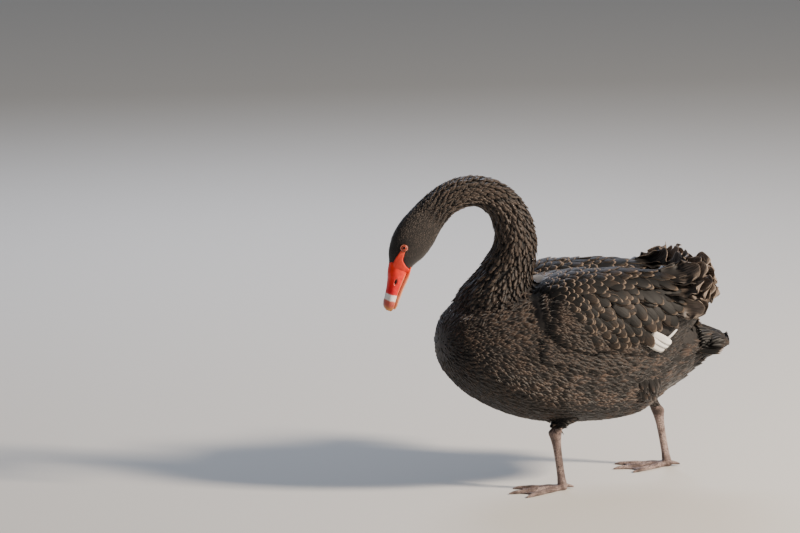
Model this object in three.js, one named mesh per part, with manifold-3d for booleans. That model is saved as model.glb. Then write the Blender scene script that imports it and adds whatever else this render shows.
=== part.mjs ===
// A black swan walking with its neck arched and its bill pointing down, life size, as closed solids.
// Units are millimetres. The bird faces -X, its left side is -Y, +Z is up and the floor is Z = 0.
import * as THREE from "three";
import { LoftGeometry } from "three/addons/geometries/LoftGeometry.js";
import { mergeVertices } from "three/addons/utils/BufferGeometryUtils.js";
import Module from "manifold-3d";

const wasm = await Module();
wasm.setup();

// Driving dimensions
const GAP = 0.35; // air between touching nodes
const ORIGIN_SHIFT = 49; // moves the bird back so that the origin is under the middle of its box
const TAU = 2 * Math.PI;

// Torso stations from the front of the breast to the tail root: [x, top, bottom, half width].
const TORSO = [
  [-268, 260, 260, 4],
  [-262, 294, 226, 44],
  [-244, 322, 194, 74],
  [-206, 346, 160, 100],
  [-150, 360, 131, 117],
  [-90, 366, 114, 124],
  [-25, 366, 108, 124],
  [40, 358, 108, 117],
  [92, 341, 117, 103],
  [132, 319, 142, 84],
  [172, 293, 164, 62],
  [206, 270, 188, 44],
  [222, 256, 206, 30],
];
const TORSO_WIDEST = 0.45; // share of the section's height where it is widest
const TORSO_SQUARE = 2.25; // superellipse power of the section, 2 is an ellipse
const TORSO_ROWS = 28;
const TORSO_COLUMNS = 26;

// Neck and head stations from inside the breast to the bill root: [x, z, half depth, half width].
const NECK = [
  [-186, 272, 72, 84],
  [-171, 315, 68, 74],
  [-154, 352, 56, 60],
  [-142, 384, 45.5, 46],
  [-131, 414, 40, 39],
  [-128, 442, 37, 35],
  [-136, 474, 34, 32],
  [-158, 506, 30, 28],
  [-195, 525, 27.3, 25.5],
  [-232, 524, 27.4, 25],
  [-266, 507, 29.5, 25.5],
  [-292, 482, 34.5, 27],
  [-310, 459, 38.5, 28.5],
  [-324, 439, 37.5, 28],
  [-334, 422, 32, 24.5],
  [-339, 409, 25.5, 20],
  [-342, 398, 20.5, 16.5],
  [-345, 387, 17.5, 14],
];
const NECK_ROWS = 50;
const NECK_COLUMNS = 18;
// Shares of the stations where the neck is divided, and where the bill begins.
const NECK_CUTS = { base: 0.207, low: 0.348, high: 0.489, nape: 0.626, bill: 0.9412 };
const CUT_SHARE = 0.0011; // share of the stations that one thin cut takes

const BILL_LENGTH = 74;
// Bill stations: [share of length, culmen height, tomium height, half width], heights from the bill's axis.
const BILL_UPPER = [
  [-0.12, 20.6, -13.9, 15.8],
  [0.12, 18.2, -12.6, 15.2],
  [0.3, 14.6, -10.6, 14.4],
  [0.5, 11.8, -8.8, 13.6],
  [0.7, 10.4, -8.0, 13.6],
  [0.84, 9.8, -8.4, 13.2],
  [0.94, 7.4, -8.2, 10.5],
  [1.0, 2.4, -6.4, 5.5],
];
// Lower bill stations: [share of length, upper height, lower height, half width].
const BILL_LOWER = [
  [-0.12, -14.7, -21.0, 13.6],
  [0.14, -13.1, -19.2, 13.2],
  [0.3, -11.2, -16.4, 12.6],
  [0.5, -9.4, -13.8, 12.0],
  [0.7, -8.6, -12.6, 12.0],
  [0.84, -9.0, -12.2, 10.8],
  [0.93, -8.8, -11.2, 8.0],
];

const EYE_RADIUS = 7.2;
const EYE_HEIGHT = 15; // above the head's axis
const EYE_SHARE = 0.7925; // share of the neck stations at the eye
const EYE_SINK = 3.4; // how far the eyeball's centre lies under the skin
const LID = { radius: 6.3, tube: 1.5 };
// Side view of the bare face between eye and bill: [share of the neck stations, height from its axis].
const LORE = [
  [0.8, 16.5],
  [0.862, 19.5],
  [0.9, 18.5],
  [0.975, 15],
  [0.975, -13],
  [0.932, -19],
  [0.9, -8],
  [0.862, 6],
  [0.8, 11],
];
const LORE_THICKNESS = 1.2;
const NOSTRIL = { share: 0.3, height: 5, length: 5.5, width: 1.8, depth: 2.2 };

const LEFT_LEG = { side: -1, hock: [-76, -60, 104], ankle: [-62, -60, 13], thighRoot: [-36, -58, 158] };
const RIGHT_LEG = { side: 1, hock: [168, 60, 105], ankle: [186, 60, 13], thighRoot: [112, 58, 176] };

const SKIN_COLOURS = {
  plumage: 0x1d1917,
  wing: 0x2a2320,
  bill: 0xd8261c,
  eye: 0x7a1410,
  leg: 0x6f5f58,
  flight: 0xe9e6df,
};

// Smooth value of a table of stations at share t of its length, a Catmull-Rom curve in every column.
function stationAt(table, t) {
  const at = THREE.MathUtils.clamp(t, 0, 1) * (table.length - 1);
  const i = Math.min(Math.floor(at), table.length - 2);
  const f = at - i;
  const row = (k) => table[THREE.MathUtils.clamp(k, 0, table.length - 1)];
  return table[0].map((_, c) => {
    const [a, b, d, e] = [row(i - 1)[c], row(i)[c], row(i + 1)[c], row(i + 2)[c]];
    return b + 0.5 * f * (d - a + f * (2 * a - 5 * b + 4 * d - e + f * (3 * (b - d) + e - a)));
  });
}

// Power that keeps the sign, for superellipses.
const signedPower = (value, power) => Math.sign(value) * Math.abs(value) ** power;

// Closed solid from a geometry: vertices merged, collapsed triangles dropped.
function solidOf(geometry) {
  const bare = new THREE.BufferGeometry();
  bare.setAttribute("position", geometry.getAttribute("position"));
  bare.setIndex(geometry.index);
  const merged = mergeVertices(bare, 1e-3);
  const kept = [];
  const index = merged.index.array;
  for (let i = 0; i < index.length; i += 3) {
    const [a, b, c] = [index[i], index[i + 1], index[i + 2]];
    if (a !== b && b !== c && a !== c) kept.push(a, b, c);
  }
  const vertProperties = merged.attributes.position.array;
  return new wasm.Manifold(new wasm.Mesh({ numProp: 3, vertProperties, triVerts: new Uint32Array(kept) }));
}

// Largest closed surface of a solid, so that loose scraps and sealed hollows go.
function largest(solid) {
  return solid.decompose().reduce((best, body) => (body.volume() > best.volume() ? body : best));
}

const union = (solids) => solids.reduce((whole, solid) => whole.add(solid));

// Named mesh of a solid.
function meshOf(name, solid, colour, roughness = 0.7) {
  const { vertProperties, triVerts, numProp } = largest(solid).getMesh();
  const positions = new Float32Array((vertProperties.length / numProp) * 3);
  for (let i = 0; i < positions.length / 3; i++) {
    positions.set(vertProperties.subarray(i * numProp, i * numProp + 3), i * 3);
  }
  const geometry = new THREE.BufferGeometry();
  geometry.setAttribute("position", new THREE.BufferAttribute(positions, 3));
  geometry.setIndex(new THREE.BufferAttribute(triVerts, 1));
  geometry.computeVertexNormals();
  const mesh = new THREE.Mesh(geometry, new THREE.MeshStandardMaterial({ color: colour, roughness }));
  mesh.name = name;
  return mesh;
}

// Ring of points round a centre, in the plane of two axes, as an ellipse or superellipse.
function ring(centre, across, up, halfAcross, halfUp, columns, power = 2) {
  return Array.from({ length: columns }, (_, j) => {
    const angle = (j / columns) * TAU;
    return centre
      .clone()
      .addScaledVector(across, halfAcross * signedPower(Math.cos(angle), 2 / power))
      .addScaledVector(up, halfUp * signedPower(Math.sin(angle), 2 / power));
  });
}

const loft = (sections) => solidOf(new LoftGeometry(sections, { capStart: true, capEnd: true }));

// Torso

// Point of the torso's skin at share t of its length and angle round it: 0 is its right side and a
// quarter turn its top. Grow moves the point outwards.
function torsoPoint(t, angle, grow = 0) {
  const [x, top, bottom, width] = stationAt(TORSO, t);
  const level = bottom + TORSO_WIDEST * (top - bottom);
  const rise = Math.sin(angle) > 0 ? top - level + grow : level - bottom + grow;
  return new THREE.Vector3(
    x,
    (width + grow) * signedPower(Math.cos(angle), 2 / TORSO_SQUARE),
    level + rise * signedPower(Math.sin(angle), 2 / TORSO_SQUARE),
  );
}

function torsoSolid(grow = 0) {
  const sections = Array.from({ length: TORSO_ROWS + 1 }, (_, i) =>
    Array.from({ length: TORSO_COLUMNS }, (_, j) => torsoPoint(i / TORSO_ROWS, (j / TORSO_COLUMNS) * TAU, grow)),
  );
  return loft(sections);
}

// Neck and head

// Place of the neck's axis at share t, with the direction along it and the direction of its outer side.
function neckFrame(t) {
  const step = 1e-3;
  const [x0, z0] = stationAt(NECK, t - step);
  const [x1, z1] = stationAt(NECK, t + step);
  const along = new THREE.Vector3(x1 - x0, 0, z1 - z0).normalize();
  const [x, z, depth, width] = stationAt(NECK, t);
  const outer = new THREE.Vector3(along.z, 0, -along.x); // the nape and crown side
  return { centre: new THREE.Vector3(x, 0, z), along, outer, depth, width };
}

function neckSolid(from, to, grow = 0) {
  const rows = Math.max(2, Math.round((to - from) * NECK_ROWS));
  const sections = Array.from({ length: rows + 1 }, (_, i) => {
    const { centre, outer, depth, width } = neckFrame(from + ((to - from) * i) / rows);
    return ring(centre, new THREE.Vector3(0, -1, 0), outer, width + grow, depth + grow, NECK_COLUMNS);
  });
  return loft(sections);
}

// Bill

const billFrame = neckFrame(NECK_CUTS.bill);
const billAlong = new THREE.Vector3(-21, 0, -68).normalize();
const billUp = new THREE.Vector3(billAlong.z, 0, -billAlong.x);

function billPoint(share, height, side) {
  return billFrame.centre
    .clone()
    .addScaledVector(billAlong, GAP + share * BILL_LENGTH)
    .addScaledVector(billUp, height)
    .add(new THREE.Vector3(0, side, 0));
}

function billHalf(table, rows, columns, grow = 0) {
  const sections = Array.from({ length: rows + 1 }, (_, i) => {
    const [share, high, low, width] = stationAt(table, i / rows);
    const centre = billPoint(share, (high + low) / 2, 0);
    return ring(centre, new THREE.Vector3(0, -1, 0), billUp, width + grow, (high - low) / 2 + grow, columns, 2.4);
  });
  const { centre, along } = billFrame;
  return loft(sections).trimByPlane(along.toArray(), centre.dot(along) + GAP);
}

// Legs

const vector = (values) => new THREE.Vector3(...values);

// Round tapering limb through stations [point, half depth, half width], its sections level with the floor.
function limb(stations, columns = 12) {
  return loft(
    stations.map(([point, depth, width]) =>
      ring(point, new THREE.Vector3(1, 0, 0), new THREE.Vector3(0, 1, 0), depth, width, columns),
    ),
  );
}

function between(a, b, share) {
  return vector(a).lerp(vector(b), share);
}

function thighSolid({ hock, thighRoot }) {
  return limb([
    [between(hock, thighRoot, 0.16), 10.0, 8.4],
    [between(hock, thighRoot, 0.3), 13, 12],
    [between(hock, thighRoot, 0.6), 20, 19],
    [between(hock, thighRoot, 1.0), 30, 26],
  ]);
}

function shankSolid({ hock, ankle, thighRoot }) {
  const top = between(hock, thighRoot, 0.16);
  const clear = new THREE.Vector3(0, 0, -GAP);
  return limb([
    [vector(ankle).add(clear), 8.0, 7.0],
    [between(ankle, hock, 0.12), 7.2, 5.8],
    [between(ankle, hock, 0.45), 7.0, 5.2],
    [between(ankle, hock, 0.8), 8.4, 6.2],
    [between(ankle, hock, 0.94), 11.4, 8.3],
    [vector(hock), 11.8, 8.7],
    [top.add(clear), 9.4, 7.8],
  ]);
}

const HALLUX_LENGTH = 20;
// Front toes of a foot: [turn in degrees outwards from straight ahead, length].
const TOES = [
  [-24, 84],
  [2, 98],
  [27, 90],
];
const TOE_RADIUS = 5.2;
const WEB_THICKNESS = 2.2;

// Foot of three webbed toes and a small hind toe, its soles flat on the floor.
function footSolid({ side, ankle }) {
  const joint = vector(ankle);
  joint.z = 0;
  const forward = (turn, reach) => {
    const angle = THREE.MathUtils.degToRad(turn);
    return new THREE.Vector3(-Math.cos(angle) * reach, side * Math.sin(angle) * reach, 0);
  };
  const toe = (turn, length) => {
    const rows = [
      [0, TOE_RADIUS + 1.4, 5.8],
      [0.2, TOE_RADIUS, 5.4],
      [0.45, TOE_RADIUS - 0.3, 4.6],
      [0.7, TOE_RADIUS - 0.6, 4.2],
      [0.88, TOE_RADIUS - 1.4, 3.6],
      [0.95, 2.4, 3.0],
      [1.05, 1.0, 1.6],
    ];
    const across = forward(turn + 90, 1);
    const sections = rows.map(([share, radius, height]) =>
      ring(joint.clone().add(forward(turn, share * length)).setZ(height - 1), across, new THREE.Vector3(0, 0, -side), radius, height, 10),
    );
    return loft(sections);
  };
  const outline = new THREE.Shape();
  const tips = TOES.map(([turn, length]) => forward(turn, length * 0.9));
  outline.moveTo(0, 0);
  outline.lineTo(tips[0].x, tips[0].y);
  for (const i of [1, 2]) {
    const middle = tips[i - 1].clone().add(tips[i]).multiplyScalar(0.44);
    outline.quadraticCurveTo(middle.x, middle.y, tips[i].x, tips[i].y);
  }
  outline.lineTo(0, 0);
  const web = new THREE.ExtrudeGeometry(outline, { depth: WEB_THICKNESS, bevelEnabled: false, curveSegments: 5 });
  web.translate(joint.x, joint.y, 0);
  const ankleBulb = limb([
    [joint.clone().setZ(1), 8.5, 8],
    [joint.clone().setZ(8), 9.5, 8.6],
    [joint.clone().setZ(13 - 2 * GAP), 8, 7.2],
  ]);
  const halluxPoint = (share, height) => joint.clone().add(new THREE.Vector3(4 + share * HALLUX_LENGTH, -side * 5, height));
  const hallux = loft(
    [
      [0, 6, 4],
      [0.5, 5, 3.4],
      [1, 3, 1.6],
    ].map(([share, height, radius]) =>
      ring(halluxPoint(share, height), new THREE.Vector3(0, 1, 0), new THREE.Vector3(0, 0, 1), radius, radius, 8),
    ),
  );
  const whole = union([ankleBulb, hallux, solidOf(web), ...TOES.map(([turn, length]) => toe(turn, length))]);
  return whole.trimByPlane([0, 0, 1], 0);
}

// Feathers

// Half width of a feather along its length, as shares: [share of length, share of half width].
const FEATHER_EDGE = [
  [0, 0.5],
  [0.45, 1],
  [0.82, 0.82],
];
const CURLED_EDGE = [
  [0, 0.4],
  [0.2, 0.78],
  [0.38, 1],
  [0.54, 0.98],
  [0.7, 1],
  [0.86, 0.8],
];
const VANE_THICKNESS = 1.0;

// Outline of a feather of length 1 and half width 1, root at the origin.
function featherOutline(edge) {
  const outline = new THREE.Shape();
  edge.forEach(([share, width], i) => (i ? outline.lineTo(share, width) : outline.moveTo(share, width)));
  outline.lineTo(1, 0.3);
  outline.lineTo(1, -0.3);
  for (const [share, width] of edge.toReversed()) outline.lineTo(share, -width);
  return outline;
}

// Feather vane as a thin closed plate. It leaves its root along one direction, turns up by the curl
// over its outer part, its edges droop and its rim is ruffled up and down.
function vane({ root, along, normal, length, width, curl = 0, droop = 0, ruffle = 0, edge = FEATHER_EDGE }) {
  const plate = new THREE.ExtrudeGeometry(featherOutline(edge), { depth: 1, bevelEnabled: false });
  const position = plate.getAttribute("position");
  const across = new THREE.Vector3().crossVectors(normal, along).normalize();
  const steps = 24;
  const path = [root.clone()];
  const heading = (share) => curl * THREE.MathUtils.smoothstep(share, 0.35, 1.05);
  for (let i = 0; i < steps; i++) {
    const turn = heading((i + 0.5) / steps);
    path.push(
      path[i]
        .clone()
        .addScaledVector(along, (Math.cos(turn) * length) / steps)
        .addScaledVector(normal, (Math.sin(turn) * length) / steps),
    );
  }
  for (let i = 0; i < position.count; i++) {
    const share = position.getX(i);
    const side = position.getY(i);
    const turn = heading(share);
    const up = along.clone().multiplyScalar(-Math.sin(turn)).addScaledVector(normal, Math.cos(turn));
    const at = Math.min(Math.floor(share * steps), steps - 1);
    const point = path[at].clone().lerp(path[at + 1], share * steps - at);
    const thickness = VANE_THICKNESS * (1.1 - 0.35 * share);
    const wave = ruffle * share * Math.sin(share * 13 + side * 2);
    const lift = (position.getZ(i) - 0.5) * thickness + wave - droop * side * side * width;
    point.addScaledVector(across, (side * width) / 2).addScaledVector(up, lift);
    position.setXYZ(i, point.x, point.y, point.z);
  }
  return solidOf(plate);
}

// Seeded random numbers from -1 to 1, so that every build gives the same feathers.
let seed = 20;
function jitter(amount) {
  seed = (seed * 16807) % 2147483647;
  return amount * ((2 * seed) / 2147483647 - 1);
}

// Wings

// Wing stations: [x, centre y, centre z, half thickness, half height], the wing being an oval shell.
const WING = [
  [-135, 60, 285, 36, 46],
  [-92, 60, 288, 64, 84],
  [-55, 59, 290, 70, 97],
  [-5, 58, 290, 71, 98],
  [48, 57, 290, 68, 97],
  [98, 56, 291, 60, 90],
  [134, 54, 299, 50, 76],
  [164, 52, 310, 40, 58],
  [190, 50, 320, 28, 40],
  [206, 49, 326, 15, 22],
];
const WING_ROWS = 18;
const WING_COLUMNS = 20;
// Side view of the wing: its lower edge is a clear step on the flank: [x, z].
const WING_OUTLINE = [
  [-130, 300],
  [-112, 270],
  [-70, 254],
  [0, 249],
  [55, 251],
  [98, 262],
  [130, 278],
  [160, 290],
  [190, 299],
  [240, 308],
  [240, 420],
  [-130, 420],
];

// Point of a wing's outer skin at share t of its length and angle round it in degrees: 0 faces out
// and 90 is the crest.
function wingPoint(side, t, degrees) {
  const [x, y, z, thick, high] = stationAt(WING, t);
  const angle = THREE.MathUtils.degToRad(degrees);
  return new THREE.Vector3(x, side * (y + thick * Math.cos(angle)), z + high * Math.sin(angle));
}

function wingCore(side) {
  const sections = Array.from({ length: WING_ROWS + 1 }, (_, i) =>
    Array.from({ length: WING_COLUMNS }, (_, j) => wingPoint(side, i / WING_ROWS, (side * j * 360) / WING_COLUMNS)),
  );
  const outline = new THREE.Shape(WING_OUTLINE.map(([x, z]) => new THREE.Vector2(x, z)));
  const prism = new THREE.ExtrudeGeometry(outline, { depth: 300, bevelEnabled: false });
  prism.rotateX(Math.PI / 2);
  prism.translate(0, 150, 0);
  return loft(sections).intersect(solidOf(prism));
}

// Frame of the wing's skin: the point, its outward normal, and the rearward direction turned down by
// the lie in degrees.
function wingFrame(side, t, degrees, lie) {
  const point = wingPoint(side, t, degrees);
  const back = wingPoint(side, t + 0.01, degrees).sub(wingPoint(side, t - 0.01, degrees)).normalize();
  const up = wingPoint(side, t, degrees + 1).sub(wingPoint(side, t, degrees - 1)).normalize();
  const normal = new THREE.Vector3().crossVectors(back, up).multiplyScalar(-side).normalize();
  const down = new THREE.Vector3().crossVectors(normal, back).multiplyScalar(side).normalize();
  if (down.dot(up) > 0) down.negate();
  const turn = THREE.MathUtils.degToRad(lie);
  const along = back.multiplyScalar(Math.cos(turn)).addScaledVector(down, Math.sin(turn));
  return { point, normal, along };
}

const ROOT_DEPTH = 2.2; // how deep a feather's root sits under the wing's skin
const FEATHER_TILT = 8; // degrees between a feather and the skin
const FEATHER_ROLL = 4; // degrees by which each feather's upper edge lies over the next

// Tiers of covert and shoulder feathers: t share of the wing, first and last place round it in
// degrees, number, length, width and lie in degrees below straight back at the first and last.
const COVERT_TIERS = [
  { t: 0.22, from: -6, to: 62, count: 5, length: 48, width: 28, lie: [22, 10] },
  { t: 0.34, from: -14, to: 84, count: 6, length: 50, width: 31, lie: [28, 8] },
  { t: 0.47, from: -12, to: 90, count: 6, length: 52, width: 32, lie: [34, 8] },
  { t: 0.59, from: -6, to: 90, count: 6, length: 50, width: 30, lie: [38, 8] },
  { t: 0.7, from: -12, to: 44, count: 4, length: 44, width: 27, lie: [38, 24] },
];
// White tips of the flight feathers, which lie on the flank under the wing's lower rear edge.
const FLIGHT_TIPS = { t: 0.53, from: -17, to: -6, count: 3, length: 78, width: 19, lie: [19, 9], tilt: -6 };

function tier(side, { t, from, to, count, length, width, lie, tilt = FEATHER_TILT }) {
  return Array.from({ length: count }, (_, i) => {
    const share = i / (count - 1);
    const degrees = THREE.MathUtils.lerp(from, to, share);
    const { point, normal, along } = wingFrame(side, t, degrees, THREE.MathUtils.lerp(lie[0], lie[1], share));
    const axis = new THREE.Vector3().crossVectors(along, normal).normalize();
    along.applyAxisAngle(axis, THREE.MathUtils.degToRad(tilt));
    normal.applyAxisAngle(axis, THREE.MathUtils.degToRad(tilt));
    normal.applyAxisAngle(along, THREE.MathUtils.degToRad(side * FEATHER_ROLL));
    const root = point.addScaledVector(normal, -ROOT_DEPTH);
    return vane({ root, along, normal, length: length + jitter(2.5), width, droop: 0.03 });
  });
}

// Curled feathers at the rear of the wing: [t, place round the wing in degrees, lie, rise off the
// skin in degrees, length, width, curl in degrees].
const CURLED = [
  [0.6, 84, -6, 12, 88, 38, 58],
  [0.64, 62, 0, 13, 90, 40, 66],
  [0.68, 40, 6, 13, 88, 40, 74],
  [0.72, 20, 10, 12, 80, 38, 78],
  [0.77, 74, -8, 20, 70, 36, 80],
  [0.81, 48, 2, 18, 68, 38, 88],
  [0.84, 22, 10, 16, 64, 36, 92],
];
const RUFFLE = 3.2;

function curledFeathers(side) {
  return CURLED.map(([t, degrees, lie, rise, length, width, curl]) => {
    const { point, normal, along } = wingFrame(side, t, degrees, lie);
    const axis = new THREE.Vector3().crossVectors(along, normal).normalize();
    const tilt = THREE.MathUtils.degToRad(rise);
    along.applyAxisAngle(axis, tilt);
    normal.applyAxisAngle(axis, tilt);
    const root = point.addScaledVector(normal, -ROOT_DEPTH).addScaledVector(along, -4);
    const turn = THREE.MathUtils.degToRad(curl + jitter(6));
    return vane({ root, along, normal, length, width, curl: turn, ruffle: RUFFLE, edge: CURLED_EDGE });
  });
}

function wingSolid(side) {
  const feathers = [...COVERT_TIERS.flatMap((row) => tier(side, row)), ...tier(side, FLIGHT_TIPS)];
  const whole = union([wingCore(side), ...feathers, ...curledFeathers(side)]);
  return whole.trimByPlane([0, side, 0], GAP / 2);
}

// Tail

// Core of the tail: [x, z, half height, half width].
const TAIL_CORE = [
  [186, 230, 30, 40],
  [206, 232, 30, 44],
  [224, 235, 22, 46],
  [240, 236, 14, 42],
  [252, 236, 7, 32],
];
const TAIL_FEATHERS = { pairs: 6, spread: 8, length: 66, width: 25, step: 2.6, x: 206, z: 243 };

function tailSolid() {
  const { pairs, spread, length, width, step, x, z } = TAIL_FEATHERS;
  const core = loft(
    TAIL_CORE.map(([cx, cz, high, wide]) =>
      ring(new THREE.Vector3(cx, 0, cz), new THREE.Vector3(0, 1, 0), new THREE.Vector3(0, 0, 1), wide, high, 16),
    ),
  );
  const feathers = [-1, 1].flatMap((side) =>
    Array.from({ length: pairs }, (_, i) => {
      const turn = THREE.MathUtils.degToRad(spread * (i + 0.45) * 0.62);
      const along = new THREE.Vector3(Math.cos(turn), side * Math.sin(turn), -0.16).normalize();
      const normal = new THREE.Vector3(0.16, side * 0.16, 1);
      normal.addScaledVector(along, -normal.dot(along)).normalize();
      const root = new THREE.Vector3(x - 2 * i, side * (3 + 6.2 * i) + side * 2, z - step * i - (side > 0 ? step / 2 : 0));
      return vane({ root, along, normal, length: length - 3.5 * i, width });
    }),
  );
  return union([core, ...feathers]);
}

// Assembly

const swan = new THREE.Group();
swan.position.x = ORIGIN_SHIFT;

const eyeFrame = neckFrame(EYE_SHARE);
const eyes = [-1, 1].map((side) => {
  const [depth, width] = [eyeFrame.depth, eyeFrame.width];
  const across = Math.sqrt(1 - (EYE_HEIGHT / depth) ** 2) * width;
  const normal = eyeFrame.outer.clone().multiplyScalar(EYE_HEIGHT / depth ** 2).setY((side * across) / width ** 2);
  normal.normalize();
  const skin = eyeFrame.centre.clone().addScaledVector(eyeFrame.outer, EYE_HEIGHT).setY(side * across);
  return { skin, normal, centre: skin.clone().addScaledVector(normal, -EYE_SINK) };
});

function ball(centre, radius) {
  const sphere = new THREE.IcosahedronGeometry(radius, 2);
  sphere.translate(centre.x, centre.y, centre.z);
  return solidOf(sphere);
}

// Bare rim round an eye.
function lid({ skin, normal }) {
  const rim = new THREE.TorusGeometry(LID.radius, LID.tube, 6, 18);
  rim.applyQuaternion(new THREE.Quaternion().setFromUnitVectors(new THREE.Vector3(0, 0, 1), normal));
  rim.translate(skin.x, skin.y, skin.z);
  return solidOf(rim);
}

// Thin raised plates of bare skin on both sides of the head, which join the upper bill.
function lores() {
  const outline = LORE.map(([share, height]) => {
    const { centre, outer } = neckFrame(share);
    const point = centre.clone().addScaledVector(outer, height);
    return new THREE.Vector2(point.x, point.z);
  });
  const prism = new THREE.ExtrudeGeometry(new THREE.Shape(outline), { depth: 80, bevelEnabled: false });
  prism.rotateX(Math.PI / 2);
  prism.translate(0, 40, 0);
  const shell = neckSolid(0.76, 1, LORE_THICKNESS).subtract(neckSolid(0.75, 1, GAP));
  const clear = eyes.map(({ skin }) => ball(skin, LID.radius + LID.tube + GAP + 0.3));
  return shell.intersect(solidOf(prism)).subtract(union(clear));
}

// Shallow hollow of a nostril on one side of the bill.
function nostril(side) {
  const hollow = new THREE.SphereGeometry(1, 10, 8);
  hollow.scale(NOSTRIL.width, NOSTRIL.depth, NOSTRIL.length);
  const lean = new THREE.Quaternion().setFromUnitVectors(new THREE.Vector3(0, 0, -1), billAlong);
  hollow.applyQuaternion(lean);
  const place = billPoint(NOSTRIL.share, NOSTRIL.height, side * 14);
  hollow.translate(place.x, place.y, place.z);
  return solidOf(hollow);
}

const torso = torsoSolid();
const torsoGrown = torsoSolid(GAP);
const neckBase = neckSolid(0, NECK_CUTS.base).subtract(torsoGrown);
const fleshGrown = torsoGrown.add(neckSolid(0, NECK_CUTS.base, GAP));
const sockets = union(eyes.map(({ centre }) => ball(centre, EYE_RADIUS + GAP)));
const headSkin = neckSolid(NECK_CUTS.nape + CUT_SHARE, NECK_CUTS.bill);
const head = union([headSkin, ...eyes.map(lid)]).subtract(sockets);
const billLower = billHalf(BILL_LOWER, 10, 12);
const mouth = billHalf(BILL_LOWER, 10, 12, GAP);
const billCuts = union([mouth, nostril(-1), nostril(1)]);
const billUpper = billHalf(BILL_UPPER, 12, 16).add(lores()).subtract(billCuts);

swan.add(
  meshOf("torso", torso, SKIN_COLOURS.plumage),
  meshOf("neck_base", neckBase, SKIN_COLOURS.plumage),
  meshOf("neck_lower", neckSolid(NECK_CUTS.base + CUT_SHARE, NECK_CUTS.low), SKIN_COLOURS.plumage),
  meshOf("neck_middle", neckSolid(NECK_CUTS.low + CUT_SHARE, NECK_CUTS.high), SKIN_COLOURS.plumage),
  meshOf("neck_upper", neckSolid(NECK_CUTS.high + CUT_SHARE, NECK_CUTS.nape), SKIN_COLOURS.plumage),
  meshOf("head", head, SKIN_COLOURS.plumage),
  meshOf("eye_left", ball(eyes[0].centre, EYE_RADIUS), SKIN_COLOURS.eye, 0.1),
  meshOf("eye_right", ball(eyes[1].centre, EYE_RADIUS), SKIN_COLOURS.eye, 0.1),
  meshOf("bill_upper", billUpper, SKIN_COLOURS.bill, 0.35),
  meshOf("bill_lower", billLower, SKIN_COLOURS.bill, 0.4),
);

for (const [name, leg] of [["left", LEFT_LEG], ["right", RIGHT_LEG]]) {
  swan.add(
    meshOf("thigh_" + name, thighSolid(leg).subtract(torsoGrown), SKIN_COLOURS.plumage),
    meshOf("shank_" + name, shankSolid(leg), SKIN_COLOURS.leg),
    meshOf("foot_" + name, footSolid(leg), SKIN_COLOURS.leg),
    meshOf("wing_" + name, wingSolid(leg.side).subtract(fleshGrown), SKIN_COLOURS.wing),
  );
}
swan.add(meshOf("tail", tailSolid().subtract(torsoGrown), SKIN_COLOURS.plumage));

export default swan;
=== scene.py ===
# %% [markdown]
# # A black swan, feather by feather
# The solids of the bird come in as a fixed frame. This lesson dresses them: one skin over all the
# flesh, a coat of small closed vanes that lie the way feathers lie, a waxy bill, eyes and scaled legs.
# Particle hair could grow such a coat too, but it isn't solid: closed vanes can be measured and
# exported. Everything is in metres, +Z is up, the bird faces -X and its left side is -Y.

# %% Load the frame
import math
from functools import partial
import bpy
import numpy as np
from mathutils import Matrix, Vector
from mathutils.bvhtree import BVHTree


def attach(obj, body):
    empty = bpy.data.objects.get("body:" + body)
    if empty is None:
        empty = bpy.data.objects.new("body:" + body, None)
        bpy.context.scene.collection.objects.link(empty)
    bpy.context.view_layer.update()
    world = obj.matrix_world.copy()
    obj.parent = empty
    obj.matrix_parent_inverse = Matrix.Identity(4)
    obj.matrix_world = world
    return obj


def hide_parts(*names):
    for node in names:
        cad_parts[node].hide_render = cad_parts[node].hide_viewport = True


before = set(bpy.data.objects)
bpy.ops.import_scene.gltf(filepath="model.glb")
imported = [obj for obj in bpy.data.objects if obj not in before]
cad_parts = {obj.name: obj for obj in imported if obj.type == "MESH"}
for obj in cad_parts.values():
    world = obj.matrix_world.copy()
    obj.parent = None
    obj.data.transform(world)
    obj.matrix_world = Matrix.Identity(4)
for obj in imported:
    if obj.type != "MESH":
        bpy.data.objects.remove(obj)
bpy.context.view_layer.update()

# %% [markdown]
# ## Sizes
# A bird's shape is a few smooth curves. It could be sculpted, but then nothing would say how wide the
# neck is. Here each table holds stations along one curve, in millimetres, and a Catmull-Rom curve runs
# through them, so a short table gives a smooth form that can be measured and changed.

# %% Tables of stations
MM = 0.001
SIDES = ((-1, "left"), (1, "right"))  # sign of Y and name
SHIFT = 49  # the tables' zero lies this far from the frame's origin, along X

# Torso from breast to tail root: x, top, bottom, half width.
TORSO = [
    (-268, 260, 260, 4), (-262, 294, 226, 44), (-244, 322, 194, 74), (-206, 346, 160, 100),
    (-150, 360, 131, 117), (-90, 366, 114, 124), (-25, 366, 108, 124), (40, 358, 108, 117),
    (92, 341, 117, 103), (132, 319, 142, 84), (172, 293, 164, 62), (206, 270, 188, 44), (222, 256, 206, 30),
]
TORSO_POWER = 2.25  # of the superellipse: 2 is an oval, more is boxier
TORSO_WAIST = 0.45  # share of the height at which the torso is widest
# Neck and head from inside the breast to inside the bill: x, z, half depth, half width.
NECK = [
    (-186, 272, 72, 84), (-171, 315, 68, 74), (-154, 352, 56, 60), (-142, 384, 45.5, 46),
    (-131, 414, 40, 39), (-128, 442, 37, 35), (-136, 474, 34, 32), (-158, 506, 30, 28),
    (-195, 525, 27.3, 25.5), (-232, 524, 27.4, 25), (-266, 507, 29.5, 25.5), (-292, 482, 34.5, 27),
    (-310, 459, 38.5, 28.5), (-324, 439, 37.5, 28), (-334, 422, 32, 24.5), (-339, 409, 25.5, 20),
    (-342, 398, 20.5, 16.5), (-345, 387, 17.5, 14),
]
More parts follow.
